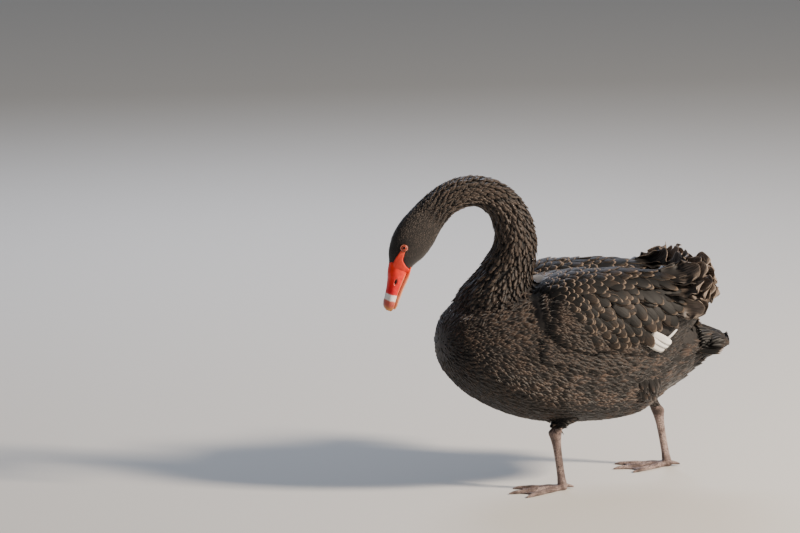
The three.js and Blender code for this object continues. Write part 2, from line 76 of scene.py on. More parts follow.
# Wing: x, centre y, centre z, half thickness, half height.
WING = [
    (-122, 62, 286, 50, 62), (-92, 60, 288, 64, 84), (-55, 59, 290, 70, 97), (-5, 58, 290, 71, 98),
    (48, 57, 290, 68, 97), (98, 56, 291, 60, 90), (134, 54, 299, 50, 76), (164, 52, 310, 40, 58),
    (190, 50, 320, 28, 40), (206, 49, 326, 15, 22),
]
# Tail core: x, centre z, half height, half width.
TAIL = [(186, 230, 30, 40), (206, 232, 30, 44), (224, 235, 22, 46), (240, 236, 14, 42), (252, 236, 7, 32)]
# Shawl of the shoulder feathers between the wings: x, centre z, half height, half width.
MANTLE = [
    (-128, 338, 14, 34), (-90, 344, 26, 56), (-30, 346, 31, 62), (50, 342, 31, 60), (110, 326, 28, 52),
    (160, 300, 22, 42), (205, 270, 12, 30),
]
# Rump and under-tail coverts: x, centre z, half height, half width.
RUMP = [
    (150, 236, 40, 40), (180, 232, 50, 50), (207, 233, 42, 47), (230, 235, 31, 42), (245, 235, 24, 37),
    (258, 234, 15, 29), (268, 236, 6, 18),
]
# Legs: side, ankle joint on the foot, hock, thigh root.
LEGS = {
    "left": (-1, (-62, -60, 13), (-76, -60, 104), (-36, -58, 158)),
    "right": (1, (186, 60, 13), (168, 60, 105), (112, 58, 176)),
}
BILL_START = 0.9412  # share of the neck's stations where the bill begins
EYE_PLACE = (0.7925, 15.0)  # share of the neck's stations, height from the head's axis


def curve(table, t):
    """Smooth value of a table at shares t of its length: the Catmull-Rom curve through its rows."""
    rows = np.asarray(table, float)
    at = np.clip(t, 0, 1) * (len(rows) - 1)
    i = np.minimum(at.astype(int), len(rows) - 2)
    f = (at - i)[..., None]
    a, b, c, d = (rows[np.clip(i + k, 0, len(rows) - 1)] for k in (-1, 0, 1, 2))
    return b + 0.5 * f * (c - a + f * (2 * a - 5 * b + 4 * c - d + f * (3 * (b - c) + d - a)))


def power(value, exponent):
    """Power of the size that keeps the sign, for superellipses."""
    return np.sign(value) * np.abs(value) ** exponent


def place(x, y, z):
    """Points in the frame, in metres, from table values in millimetres."""
    return np.stack(np.broadcast_arrays(x + SHIFT, y, z), -1) * MM


print("stations:", len(TORSO), "torso,", len(NECK), "neck and head,", len(WING), "wing")

# %% [markdown]
# ## The surfaces under the feathers
# Each surface is a function of two numbers: a share along its table and an angle round it. The same
# functions give the skin its form and give every feather its root, so that nothing floats.

# %% Surface functions
def torso(t, angle, grow=0.0):
    """Superellipse sections, power 2.25, widest at 0.45 of their height; 0 is right and 90 degrees up."""
    x, top, bottom, width = np.moveaxis(curve(TORSO, t), -1, 0)
    level = bottom + TORSO_WAIST * (top - bottom)
    rise = np.where(np.sin(angle) > 0, top - level, level - bottom) + grow
    out = (width + grow) * power(np.cos(angle), 2 / TORSO_POWER)
    return place(x, out, level + rise * power(np.sin(angle), 2 / TORSO_POWER))


def neck_axis(t):
    """Centre line of neck and head with its outer direction, which is the nape and crown side."""
    x, z, depth, width = np.moveaxis(curve(NECK, t), -1, 0)
    before, after = curve(NECK, t - 1e-3), curve(NECK, t + 1e-3)
    run = after[..., :2] - before[..., :2]
    run /= np.linalg.norm(run, axis=-1, keepdims=True)
    return x, z, depth, width, run[..., 1], -run[..., 0]


def neck(t, angle, grow=0.0):
    """Ellipses square to the neck's centre line; 0 is right, 90 degrees the nape or crown."""
    x, z, depth, width, ox, oz = neck_axis(t)
    up = (depth + grow) * np.sin(angle)
    return place(x + ox * up, (width + grow) * np.cos(angle), z + oz * up)


def wing(side, t, angle, grow=0.0):
    """Oval sections of a folded wing; 0 faces out and 90 degrees is the crest."""
    x, y, z, thick, high = np.moveaxis(curve(WING, t), -1, 0)
    return place(x, side * (y + (thick + grow) * np.cos(angle)), z + (high + grow) * np.sin(angle))


def tail(t, angle, grow=0.0):
    """Flat ovals behind the rump; 0 is right and 90 degrees up."""
    x, z, high, wide = np.moveaxis(curve(TAIL, t), -1, 0)
    return place(x, (wide + grow) * np.cos(angle), z + (high + grow) * np.sin(angle))


def mantle(t, angle, grow=0.0):
    """Flat ovals over the back; 0 is right and 90 degrees up."""
    x, z, high, wide = np.moveaxis(curve(MANTLE, t), -1, 0)
    return place(x, (wide + grow) * np.cos(angle), z + (high + grow) * np.sin(angle))


def rump(t, angle, grow=0.0):
    """Cone of ovals that carries the body's outline on to the tail; 0 is right and 90 degrees up."""
    x, z, high, wide = np.moveaxis(curve(RUMP, t), -1, 0)
    return place(x, (wide + grow) * np.cos(angle), z + (high + grow) * np.sin(angle))


def limb(stations, t, angle, grow=0.0):
    """Round tapering limb with level sections: stations x, y, z, half depth, half width."""
    x, y, z, depth, width = np.moveaxis(curve(stations, t), -1, 0)
    return place(x + (depth + grow) * np.cos(angle), y + (width + grow) * np.sin(angle), z)


def thigh(name):
    """Stations of a thigh from just over the hock up into the flank."""
    _, _, hock, root = LEGS[name]
    shares = np.array([0.1, 0.3, 0.6, 1.0])[:, None]
    middle = np.array(hock) * (1 - shares) + np.array(root) * shares
    return np.hstack([middle, [[9.4, 8.2], [13, 12.5], [20, 19], [30, 26]]])


print("top of the neck:", neck(np.array(0.47), np.array(math.pi / 2)).round(3))

# %% [markdown]
# ## Meshes from arrays
# A mesh is arrays of points and of faces. They could be added one by one, but a coat has hundreds of
# thousands. One helper writes both into Blender in bulk, and adds the maps and numbers that the
# finishes read. Another closes a grid of points into a tube with poles.

# %% Mesh helpers
def build(name, points, quads, used, uvs=None, numbers=None):
    """Mesh object from points (n, 3) and faces (m, 4); a repeated last corner makes a triangle."""
    quads = np.asarray(quads, int)
    points = np.asarray(points, float).reshape(-1, 3)
    corners = np.where(quads[:, 2] == quads[:, 3], 3, 4)
    keep = np.arange(4)[None, :] < corners[:, None]
    loops = quads[keep]
    mesh = bpy.data.meshes.new(name)
    mesh.vertices.add(len(points))
    mesh.vertices.foreach_set("co", points.astype(np.float32).ravel())
    mesh.loops.add(len(loops))
    mesh.loops.foreach_set("vertex_index", loops.astype(np.int32))
    mesh.polygons.add(len(quads))
    mesh.polygons.foreach_set("loop_start", np.concatenate([[0], np.cumsum(corners)[:-1]]).astype(np.int32))
    mesh.update(calc_edges=True)
    for title, values in (uvs or {}).items():
        layer = mesh.uv_layers.new(name=title)
        layer.data.foreach_set("uv", np.asarray(values, np.float32)[loops].ravel())
    for title, values in (numbers or {}).items():
        layer = mesh.attributes.new(title, "FLOAT", "POINT")
        layer.data.foreach_set("value", np.asarray(values, np.float32).ravel())
    mesh.shade_smooth()
    piece = bpy.data.objects.new(name, mesh)
    bpy.context.scene.collection.objects.link(piece)
    if used:
        mesh.materials.append(used)
    return piece


def clad(name, mesh, used):
    """Object of a mesh that is already made, smooth and with one finish."""
    mesh.materials.clear()
    mesh.materials.append(used)
    mesh.shade_smooth()
    piece = bpy.data.objects.new(name, mesh)
    bpy.context.scene.collection.objects.link(piece)
    return piece


def wrap(rows, columns, start=0):
    """Faces of a grid of points that closes round its columns."""
    i, j = np.meshgrid(np.arange(rows - 1), np.arange(columns), indexing="ij")
    k = (j + 1) % columns
    here, there = i * columns, (i + 1) * columns
    return start + np.stack([here + j, here + k, there + k, there + j], -1).reshape(-1, 4)


def tube(points):
    """Closed tube from a grid (rows, columns, 3): its wall and a fan to a middle point at each end."""
    rows, columns = points.shape[:2]
    flat = points.reshape(-1, 3)
    ends = [points[0].mean(0), points[-1].mean(0)]
    j = np.arange(columns)
    k = (j + 1) % columns
    low, high = rows * columns, rows * columns + 1
    first = np.stack([k, j, np.full(columns, low), np.full(columns, low)], -1)
    last = (rows - 1) * columns
    second = np.stack([last + j, last + k, np.full(columns, high), np.full(columns, high)], -1)
    quads = np.vstack([wrap(rows, columns), first, second])
    shape = np.vstack([flat, ends])
    corners = shape[quads[:, :3]] - ends[0]
    volume = np.einsum("ij,ij->i", corners[:, 0], np.cross(corners[:, 1], corners[:, 2])).sum()
    return shape, quads if volume > 0 else turned(quads)


def turned(quads):
    """The same faces turned over, so that they point outwards."""
    flat = quads[:, 2] == quads[:, 3]
    return np.where(flat[:, None], quads[:, [1, 0, 2, 3]], quads[:, ::-1])


def grid(surface, t, columns, *args, **more):
    """Grid of points of a surface at shares t and at that many angles."""
    angle = np.linspace(0, 2 * math.pi, columns, endpoint=False)
    return surface(*args, np.repeat(t[:, None], columns, 1), np.repeat(angle[None], len(t), 0), **more)


# %% [markdown]
# ## Colours and finishes
# Plumage black is never plain black: each vane is a warm dark brown with a paler worn rim, and barbs
# run slantwise from its shaft. One flat black would lose the form in shade, so each finish runs from a
# dark root, painted shade where the vane in front covers it, to a lighter tip. The colours are given
# as hex values and turned to linear light.

# %% Finish helpers
def linear(colour):
    """sRGB hex value to linear red, green, blue and alpha."""
    part = np.array([int(colour[i:i + 2], 16) for i in (1, 3, 5)]) / 255
    part = np.where(part <= 0.04045, part / 12.92, ((part + 0.055) / 1.055) ** 2.4)
    return (*part.tolist(), 1.0)


def add(tree, kind, links=None, **settings):
    """One node with its settings. A setting that names an input fills it, _1 is input 1 by number, and
    links join inputs to outputs of other nodes."""
    made = tree.nodes.new(kind)
    for key, value in settings.items():
        if hasattr(made, key):
            setattr(made, key, value)
    for key, value in settings.items():
        if not hasattr(made, key):
            made.inputs[int(key[1:]) if key[0] == "_" else key.replace("_", " ")].default_value = value
    for key, source in (links or {}).items():
        tree.links.new(source, made.inputs[key])
    return made


def finish(name, **shader):
    """New material with a Principled shader, and its tree."""
    made = bpy.data.materials.new(name)
    made.use_nodes = True
    body = made.node_tree.nodes["Principled BSDF"]
    for key, value in shader.items():
        body.inputs[key.replace("_", " ")].default_value = value
    return made, made.node_tree, body


def ramp(tree, source, stops):
    """Colour ramp from a number, with stops (place, colour)."""
    made = add(tree, "ShaderNodeValToRGB", {"Fac": source})
    while len(made.color_ramp.elements) < len(stops):
        made.color_ramp.elements.new(0.5)
    for element, (where, colour) in zip(made.color_ramp.elements, stops):
        element.position = where
        element.color = linear(colour) if isinstance(colour, str) else (colour, colour, colour, 1)
    return made.outputs["Color"]


def plumage(name, dark, light, rim, rim_start=0.8, rim_share=0.5, fibre=(16.0, 2.5), roughness=0.5,
            sheen=0.08):
    """Keratin web: fibres run along each vane, its hidden root is painted dark as shade, its worn rim pale.
    """
    made, tree, body = finish(name, Roughness=roughness, Sheen_Weight=sheen, Sheen_Roughness=0.4,
                              Specular_IOR_Level=0.3)
    place_in_vane = add(tree, "ShaderNodeUVMap", uv_map="Vane").outputs["UV"]
    way = add(tree, "ShaderNodeSeparateXYZ", {"Vector": place_in_vane})
    shade = add(tree, "ShaderNodeAttribute", attribute_name="shade").outputs["Fac"]
    across = add(tree, "ShaderNodeMath", {0: way.outputs["X"]}, operation="MULTIPLY_ADD", _1=2.0,
                 _2=-1.0).outputs[0]
    out = add(tree, "ShaderNodeMath", {0: across}, operation="ABSOLUTE").outputs[0]
    slant = add(tree, "ShaderNodeMath", {0: out, 2: way.outputs["Y"]}, operation="MULTIPLY_ADD",
                _1=-0.35).outputs[0]
    run = add(tree, "ShaderNodeMath", {0: slant}, operation="MULTIPLY", _1=fibre[1]).outputs[0]
    wide = add(tree, "ShaderNodeMath", {0: way.outputs["X"]}, operation="MULTIPLY", _1=fibre[0]).outputs[0]
    own = add(tree, "ShaderNodeMath", {0: shade}, operation="MULTIPLY", _1=57.0).outputs[0]
    spot = add(tree, "ShaderNodeCombineXYZ", {"X": wide, "Y": run, "Z": own}).outputs["Vector"]
    strand = add(tree, "ShaderNodeTexNoise", {"Vector": spot}, Scale=1.0, Detail=3.0,
                 Roughness=0.6).outputs["Fac"]
    # Painted shade: each vane darkens towards its root, where the vane in front covers it.
    lit = add(tree, "ShaderNodeMath", {0: strand, 1: way.outputs["Y"]}, operation="MULTIPLY").outputs[0]
    lit = add(tree, "ShaderNodeMath", {0: lit, 2: shade}, operation="MULTIPLY_ADD", _1=1.25).outputs[0]
    lit = add(tree, "ShaderNodeMath", {0: lit}, operation="MULTIPLY", _1=0.66).outputs[0]
    web = ramp(tree, lit, [(0.25, dark), (0.55, dark), (0.95, light)])
    edge = add(tree, "ShaderNodeMath", {0: out, 1: way.outputs["Y"]}, operation="MAXIMUM").outputs[0]
    worn = add(tree, "ShaderNodeMapRange", {"Value": edge}, interpolation_type="SMOOTHSTEP",
               From_Min=rim_start, From_Max=1.0)
    frayed = add(tree, "ShaderNodeMath", {0: worn.outputs["Result"], 1: strand},
                 operation="MULTIPLY").outputs[0]
    share = add(tree, "ShaderNodeMath", {0: frayed}, operation="MULTIPLY", _1=2.0 * rim_share,
                use_clamp=True).outputs[0]
    coat = add(tree, "ShaderNodeMix", {"Factor": share, "A": web}, data_type="RGBA")
    coat.inputs["B"].default_value = linear(rim)
    tree.links.new(coat.outputs["Result"], body.inputs["Base Color"])
    shaft = add(tree, "ShaderNodeMapRange", {"Value": out}, From_Min=0.0, From_Max=0.08, To_Min=0.5,
                To_Max=0.0).outputs["Result"]
    high = add(tree, "ShaderNodeMath", {0: strand, 1: shaft}, operation="ADD").outputs[0]
    bump = add(tree, "ShaderNodeBump", {"Height": high}, Strength=0.5, Distance=0.0006)
    tree.links.new(bump.outputs["Normal"], body.inputs["Normal"])
    return made


# Breast and back: soft keratin webs, nearly black, with a faint brown frosting at each tip.
coat_black = plumage("feather_soft_brown_black", "#080605", "#4c3d33", "#5c4e43", rim_start=0.5,
                     rim_share=0.22, fibre=(9, 1.2))
# Flank and belly: longer, looser webs whose rims blend, so that light slides over them.
coat_flank = plumage("feather_long_flank_brown", "#0d0a08", "#5e4b3e", "#5c4e43", rim_start=0.6,
                     rim_share=0.08, fibre=(12, 1.2), sheen=0.12)
# Neck: short dense webs; the deep black between the ridges is painted shade.
coat_neck = plumage("feather_neck_brown_black", "#050404", "#41362e", "#5a4d43", rim_start=0.5,
                    rim_share=0.3, fibre=(7, 1.2))
# Head: tiny webs that scatter light like velvet and hide their own rims.
coat_head = plumage("feather_velvet_head", "#1a1614", "#62574f", "#5f554d", rim_start=0.5, rim_share=0.15,
                    fibre=(5, 1), roughness=0.65)
# Coverts: stiff smooth webs with a thin worn rim, which draws a pale scallop round each.
coat_wing = plumage("feather_wing_brown_black", "#070605", "#453629", "#8e7b6a", rim_start=0.88,
                    rim_share=0.75, fibre=(24, 3), roughness=0.62, sheen=0.05)
# Curled feathers: grey-brown webs, partly painted paler as light on their faces, that show their barbs where
# the light rakes them.
coat_curl = plumage("feather_curled_grey_brown", "#120f0d", "#928275", "#a39385", rim_start=0.93,
                    rim_share=0.6, fibre=(26, 3))
# Flight feathers: unpigmented webs, a clean warm white against the black coat.
coat_white = plumage("feather_flight_white", "#dedad2", "#f6f4ef", "#ffffff", rim_start=0.9,
                     rim_share=0.3, sheen=0.1)
print("finishes so far:", len(bpy.data.materials))

# %% [markdown]
# ## One skin
# Under its feathers the bird is one loose skin. Its parts could be joined with booleans, which leave
# sharp seams. Voxel remeshing melts the overlapping forms instead: torso, neck, head, thighs, wing
# cores and tail core, all a few millimetres under the feather tips. A little smoothing rounds the
# folds between them, as loose skin does.

# %% Skin
DEPTH = -3.5  # the coat's depth: the skin lies this many millimetres inside the solids


def melted(name, parts, voxel, rounds):
    """One closed mesh from several closed grids: voxel remesh, then smoothing."""
    points, quads, count = [], [], 0
    for part in parts:
        body_points, body_quads = tube(part)
        points.append(body_points)
        quads.append(body_quads + count)
        count += len(body_points)
    raw = build(name + "_raw", np.vstack(points), np.vstack(quads), None)
    remesh = raw.modifiers.new("melt", "REMESH")
    remesh.mode = "VOXEL"
    remesh.voxel_size = voxel
    soften = raw.modifiers.new("soften", "SMOOTH")
    soften.factor, soften.iterations = 0.5, rounds
    view = raw.evaluated_get(bpy.context.evaluated_depsgraph_get())
    mesh = bpy.data.meshes.new_from_object(view)
    bpy.data.objects.remove(raw)
    points = np.empty(len(mesh.vertices) * 3, np.float32)
    mesh.vertices.foreach_get("co", points)
    normals = np.empty(len(mesh.vertices) * 3, np.float32)
    mesh.vertices.foreach_get("normal", normals)
    return mesh, points.reshape(-1, 3), normals.reshape(-1, 3)


rows = np.linspace(0, 1, 60)
fewer = rows[:40] / rows[39]
parts = [grid(torso, rows, 64, grow=DEPTH)]
parts.append(grid(neck, np.linspace(0, BILL_START, 110), 48, grow=DEPTH * 0.8))
parts += [grid(wing, rows, 40, side, grow=DEPTH) for side in (-1, 1)]
parts.append(grid(mantle, fewer, 40, grow=-2.0))
parts.append(grid(rump, fewer, 48, grow=-3.0))
parts.append(grid(tail, fewer, 40, grow=-2.0))
parts += [grid(limb, rows[:30] / rows[29], 24, thigh(name), grow=-2.0) for name in LEGS]
SKIN_VOXEL = 4.2 * MM  # size of the cells that melt the skin
skin_mesh, skin_points, skin_normals = melted("skin", parts, SKIN_VOXEL, 6)
skin_tree = BVHTree.FromPolygons([tuple(p) for p in skin_points.tolist()],
                                 [tuple(p.vertices) for p in skin_mesh.polygons])
print("skin:", len(skin_mesh.polygons), "faces")

# %% [markdown]
# ## A map of the skin
# Each feather's colour is kept on a small patch of a map. Blender can unwrap a skin by itself, but then
# a feather and the skin under it would get unrelated places. A formula gives both the same place: one
# direction of the map is the way from tail to bill, the other the way round.

# %% Unwrap
LINE_T = np.linspace(0, 1, 160)
NECK_LINE = curve(NECK, LINE_T)
LINE = np.vstack([
    place(np.linspace(275, -120, 160), 0.0, np.linspace(236, 240, 160)),
    place(NECK_LINE[:, 0], 0.0, NECK_LINE[:, 1]),
])


def unwrap(points):
    """Map place of points: share along the line from tail to bill, and angle round that line."""
    points = np.asarray(points)
    nearest = np.empty(len(points), int)
    for start in range(0, len(points), 20000):
        part = points[start:start + 20000]
        nearest[start:start + 20000] = ((part[:, None, ::2] - LINE[None, :, ::2]) ** 2).sum(-1).argmin(1)
    off = points - LINE[nearest]
    ahead = LINE[np.minimum(nearest + 1, len(LINE) - 1)] - LINE[np.maximum(nearest - 1, 0)]
    side = off[:, 2] * -ahead[:, 0] + off[:, 0] * ahead[:, 2]
    round_it = np.arctan2(side / (np.linalg.norm(ahead, axis=1) + 1e-9), off[:, 1]) / (2 * math.pi) + 0.5
    return np.stack([0.01 + 0.98 * nearest / (len(LINE) - 1), 0.02 + 0.96 * round_it], -1)


print("the map's line is", round(float(np.linalg.norm(np.diff(LINE, axis=0), axis=1).sum()), 2), "m long")

# %% [markdown]
# ## The finish of the skin
# Under the feathers lies dense down, which shows only in the narrow gaps between vanes. It could be
# tufts of its own. A dark, rough, slightly lumpy surface is enough, as no eye reaches it.

# %% Skin piece
# Down over skin: rough and dark, it swallows light between the vanes.
skin_finish, skin_tree_nodes, skin_body = finish("down_brown_black", Roughness=0.85, Sheen_Weight=0.2)
spot = add(skin_tree_nodes, "ShaderNodeTexCoord").outputs["Object"]
down = add(skin_tree_nodes, "ShaderNodeTexNoise", {"Vector": spot}, Scale=260.0, Detail=5.0)
skin_tree_nodes.links.new(ramp(skin_tree_nodes, down.outputs["Fac"],
                               [(0.3, "#0c0a09"), (0.7, "#241e1b")]), skin_body.inputs["Base Color"])
lump = add(skin_tree_nodes, "ShaderNodeBump", {"Height": down.outputs["Fac"]}, Strength=0.6, Distance=0.001)
skin_tree_nodes.links.new(lump.outputs["Normal"], skin_body.inputs["Normal"])
skin_mesh.name = "skin"
skin = clad("skin", skin_mesh, skin_finish)
layer = skin_mesh.uv_layers.new(name="OFBake")
corner = np.empty(len(skin_mesh.loops), np.int32)
skin_mesh.loops.foreach_get("vertex_index", corner)
layer.data.foreach_set("uv", unwrap(skin_points)[corner].astype(np.float32).ravel())
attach(skin, "root")
FLESH = ["torso", "neck_base", "neck_lower", "neck_middle", "neck_upper", "head", "thigh_left",
         "thigh_right", "wing_left", "wing_right", "tail"]
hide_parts(*FLESH)

# %% [markdown]
# ## The vane
# Every feather is the same idea: a shaft with a web that narrows to its root and rounds off at its
# tip. A flat card with a picture of a feather would be lighter, but it has no inside and no rim of its
# own. So it is built as a closed, very thin plate, a grid on top and a grid below that share their
# rim. All feathers of a piece are worked out at once, as one array.

# %% Vanes
PATCH = 0.003  # size of one feather's patch on the map, as a share of its width


def vanes(name, root, along, normal, length, width, finish_used, nodes, rows=5, columns=3, curl=0.0,
          cup=0.12, ruffle=0.0, twist=0.0, thick=0.0005, point=0.3, blunt=0.5, shade=0.5, vary=0.18,
          slot="plumage", waist=0.5, seed=0):
    """Feathers from arrays of roots, directions and sizes. Along each vane the heading turns by curl
    over its outer part and the web rolls by twist; the web's half width is the waist at the root,
    full at 0.6 and blunt at the tip, where the sides fall back by point; its edges droop by cup, and
    ruffle waves the rim. Each vane's tone is the shade, give or take up to vary."""
    count = len(root)
    rng = np.random.default_rng(seed)
    across = np.cross(normal, along)
    across /= np.linalg.norm(across, axis=1, keepdims=True)
    s = np.linspace(0, 1, rows) ** 0.85
    c = np.linspace(-1, 1, columns)
    swell = waist + (1 - waist) * np.sin(np.pi / 2 * np.minimum(s / 0.6, 1))
    spread = np.where(s < 0.6, swell, 1 - (1 - blunt) * (np.maximum(s - 0.6, 0) / 0.4) ** 2)
    curl = np.broadcast_to(curl, count)[:, None]
    ease = np.clip((s - 0.3) / 0.75, 0, 1)
    ease = ease * ease * (3 - 2 * ease)
    turn = curl * ease[None]
    middle = 0.5 * (turn[:, 1:] + turn[:, :-1])
    step = np.diff(s)[None]
    zero = np.zeros((count, 1))
    run = np.hstack([zero, np.cumsum(np.cos(middle) * step, 1)])
    rise = np.hstack([zero, np.cumsum(np.sin(middle) * step, 1)])
    length = np.broadcast_to(length, count)[:, None]
    width = np.broadcast_to(width, count)[:, None]
    phase = rng.uniform(0, 6.28, (count, 1, 1))
    share = s[None, :, None]
    ripple = np.sin(17 * share + 1.4 * c + phase)
    wave = np.broadcast_to(ruffle, count)[:, None, None] * share * ripple * np.abs(c) ** 1.5
    up = -np.sin(turn)[..., None] * along[:, None] + np.cos(turn)[..., None] * normal[:, None]
    ahead = np.cos(turn)[..., None] * along[:, None] + np.sin(turn)[..., None] * normal[:, None]
    forward = along[:, None] * (run * length)[..., None]
    raised = normal[:, None] * (rise * length)[..., None]
    shaft = root[:, None] + forward + raised
    roll = (np.broadcast_to(twist, count)[:, None] * s[None] ** 1.5)[..., None]
    web_way = across[:, None] * np.cos(roll) + up * np.sin(roll)
    up = up * np.cos(roll) - across[:, None] * np.sin(roll)
    half = 0.5 * width[..., None] * spread[None, :, None] * c
    high = wave - cup * width[..., None] * (c ** 2) * spread[None, :, None]
    back = -point * width[..., None] * (c ** 2) * share ** 3
    top = (shaft[:, :, None] + web_way[:, :, None] * half[..., None] + up[:, :, None] * high[..., None]
           + ahead[:, :, None] * back[..., None])
    under = top[:, 1:-1, 1:-1] - up[:, 1:-1, None] * thick
    size = rows * columns
    inner = (rows - 2) * (columns - 2)
    points = np.concatenate([top.reshape(count, size, 3), under.reshape(count, inner, 3)], 1)
    upper = np.arange(size).reshape(rows, columns)
    lower = upper.copy()
    lower[1:-1, 1:-1] = size + np.arange(inner).reshape(rows - 2, columns - 2)
    face = np.stack([upper[:-1, :-1], upper[:-1, 1:], upper[1:, 1:], upper[1:, :-1]], -1).reshape(-1, 4)
    below = np.stack([lower[:-1, :-1], lower[1:, :-1], lower[1:, 1:], lower[:-1, 1:]], -1).reshape(-1, 4)
    one = np.vstack([face, below])
    quads = (one[None] + (np.arange(count) * (size + inner))[:, None, None]).reshape(-1, 4)
    vane_map = np.stack(np.broadcast_arrays(c[None] * 0.5 + 0.5, s[:, None]), -1)
    vane_map = np.vstack([vane_map.reshape(-1, 2), vane_map[1:-1, 1:-1].reshape(-1, 2)])
    patch = unwrap(root)[:, None] + (vane_map[None] - 0.5) * PATCH
    tone = np.clip(shade + rng.uniform(-vary, vary, count), 0, 1)
    piece = build(name, points, quads, finish_used,
                  uvs={"OFBake": patch.reshape(-1, 2), "Vane": np.tile(vane_map, (count, 1))},
                  numbers={"shade": np.repeat(tone, size + inner)})
    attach(piece, "root")
    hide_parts(*nodes)
    print(name, count, "feathers,", 2 * len(quads), "triangles")


def unit(v):
    """Arrows of length 1."""
    return v / np.linalg.norm(v, axis=-1, keepdims=True)


def lay(points, flow):
    """Roots moved onto the skin, with its normal and the flow made square to it."""
    found = [skin_tree.find_nearest(Vector(p)) for p in points.tolist()]
    on = np.array([f[0] for f in found])
    normal = np.array([skin_normals[list(skin_mesh.polygons[f[2]].vertices)].mean(0) for f in found])
    normal = unit(normal)
    flow = unit(flow - (flow * normal).sum(1, keepdims=True) * normal)
    return on, normal, flow


def hug(root, along, length):
    """Curl that keeps feathers close to the skin: how far its normal turns over their length, and a
    tenth more."""
    tips = root + along * np.broadcast_to(length, len(root))[:, None]
    found = [skin_tree.find_nearest(Vector(p)) for p in tips.tolist()]
    normal = unit(np.array([skin_normals[list(skin_mesh.polygons[f[2]].vertices)].mean(0) for f in found]))
    return -1.1 * np.arcsin(np.clip((normal * along).sum(1), -0.3, 0.8))


def tilted(along, normal, degrees, roll=0.0):
    """Directions tipped off the skin by some degrees, and rolled about the shaft."""
    tip = np.broadcast_to(np.radians(degrees), len(along))[:, None]
    up = along * -np.sin(tip) + normal * np.cos(tip)
    out = along * np.cos(tip) + normal * np.sin(tip)
    turn = np.broadcast_to(np.radians(roll), len(along))[:, None]
    return out, up * np.cos(turn) + np.cross(out, up) * np.sin(turn)


def staggered(surface, t_rows, spacing, low=0.0, high=2 * math.pi, seed=1, scatter=0.16):
    """Shares and angles of feather roots in staggered rows: each row gets as many as its length round
    the body holds at the given spacing in metres, with a little scatter."""
    rng = np.random.default_rng(seed)
    ts, angles = [], []
    gaps = np.broadcast_to(spacing, len(t_rows))
    for k, (t, gap) in enumerate(zip(t_rows, gaps)):
        fine = np.linspace(low, high, 90)
        ring = surface(np.full(90, t), fine)
        reach = np.concatenate([[0], np.cumsum(np.linalg.norm(np.diff(ring, axis=0), axis=1))])
        number = max(3, int(reach[-1] / gap))
        where = (np.arange(number) + 0.5 * (k % 2) + rng.uniform(-scatter, scatter, number)) / number
        angles.append(np.interp(where * reach[-1], reach, fine))
        ts.append(np.full(number, t) + rng.uniform(-scatter, scatter, number) * (t_rows[1] - t_rows[0]))
    return np.clip(np.concatenate(ts), 0.002, 0.998), np.concatenate(angles)


def down_the(surface, t, angle, sign):
    """Direction along the surface's share, times a sign."""
    return unit(sign * (surface(t + 2e-3, angle) - surface(t - 2e-3, angle)))


def paced(surface, start, stop, pace, angle=math.pi / 2):
    """Shares from start to stop whose rows lie the pace apart, in metres; the pace may change."""
    fine = np.linspace(start, stop, 400)
    line = surface(fine, np.full(400, angle))
    reach = np.concatenate([[0], np.cumsum(np.linalg.norm(np.diff(line, axis=0), axis=1))])
    count = np.concatenate([[0], np.cumsum(np.diff(reach) / np.interp(fine[1:], *pace))])
    return np.interp(np.arange(0, count[-1], 1.0), count, fine)


# %% [markdown]
# ## The coat of neck and head
# The feathers are shortest round the face and grow down the neck. They lie from head to body. On the
# neck they gather into ridges that run along it, which catch the light like cords. The furrows between
# them are painted darker, as shade, and the crests lighter, as light. Bump could draw the ridges, but
# the outline would stay smooth, so the vanes themselves are lifted and turned in waves.

# %% Neck and head feathers
def inside_wing(points, grow=0.0):
    """True where a point lies inside a wing's oval."""
    x = points[:, 0] / MM - SHIFT
    table = np.asarray(WING, float)
    t = np.interp(x, curve(WING, LINE_T)[:, 0], LINE_T)
    _, y, z, thick, high = np.moveaxis(curve(WING, t), -1, 0)
    sideways = (np.abs(points[:, 1]) / MM - y) / (thick + grow)
    upright = (points[:, 2] / MM - z) / (high + grow)
    return (sideways ** 2 + upright ** 2 < 1) & (x > table[0, 0]) & (x < table[-1, 0])


def inside_neck(points):
    """True where a point lies inside the lower neck."""
    line = NECK_LINE[:70, :2] + [SHIFT, 0]
    off = ((points[:, None, ::2] / MM - line[None]) ** 2).sum(-1)
    near = off.argmin(1)
    sideways = points[:, 1] / MM / (NECK_LINE[near, 3] - 5)
    return sideways ** 2 + off.min(1) / (NECK_LINE[near, 2] - 5) ** 2 < 1


def inside_torso(points, grow=0.0):
    """True where a point lies inside the torso's superellipse."""
    x = points[:, 0] / MM - SHIFT
    t = np.interp(x, curve(TORSO, LINE_T)[:, 0], LINE_T)
    _, top, bottom, width = np.moveaxis(curve(TORSO, t), -1, 0)
    level = bottom + TORSO_WAIST * (top - bottom)
    z = points[:, 2] / MM
    rise = np.where(z > level, top - level, level - bottom) + grow
    sideways = np.abs(points[:, 1] / MM / (width + grow))
    upright = np.abs((z - level) / rise)
    return (sideways ** TORSO_POWER + upright ** TORSO_POWER < 1) & (x < TORSO[-1][0])


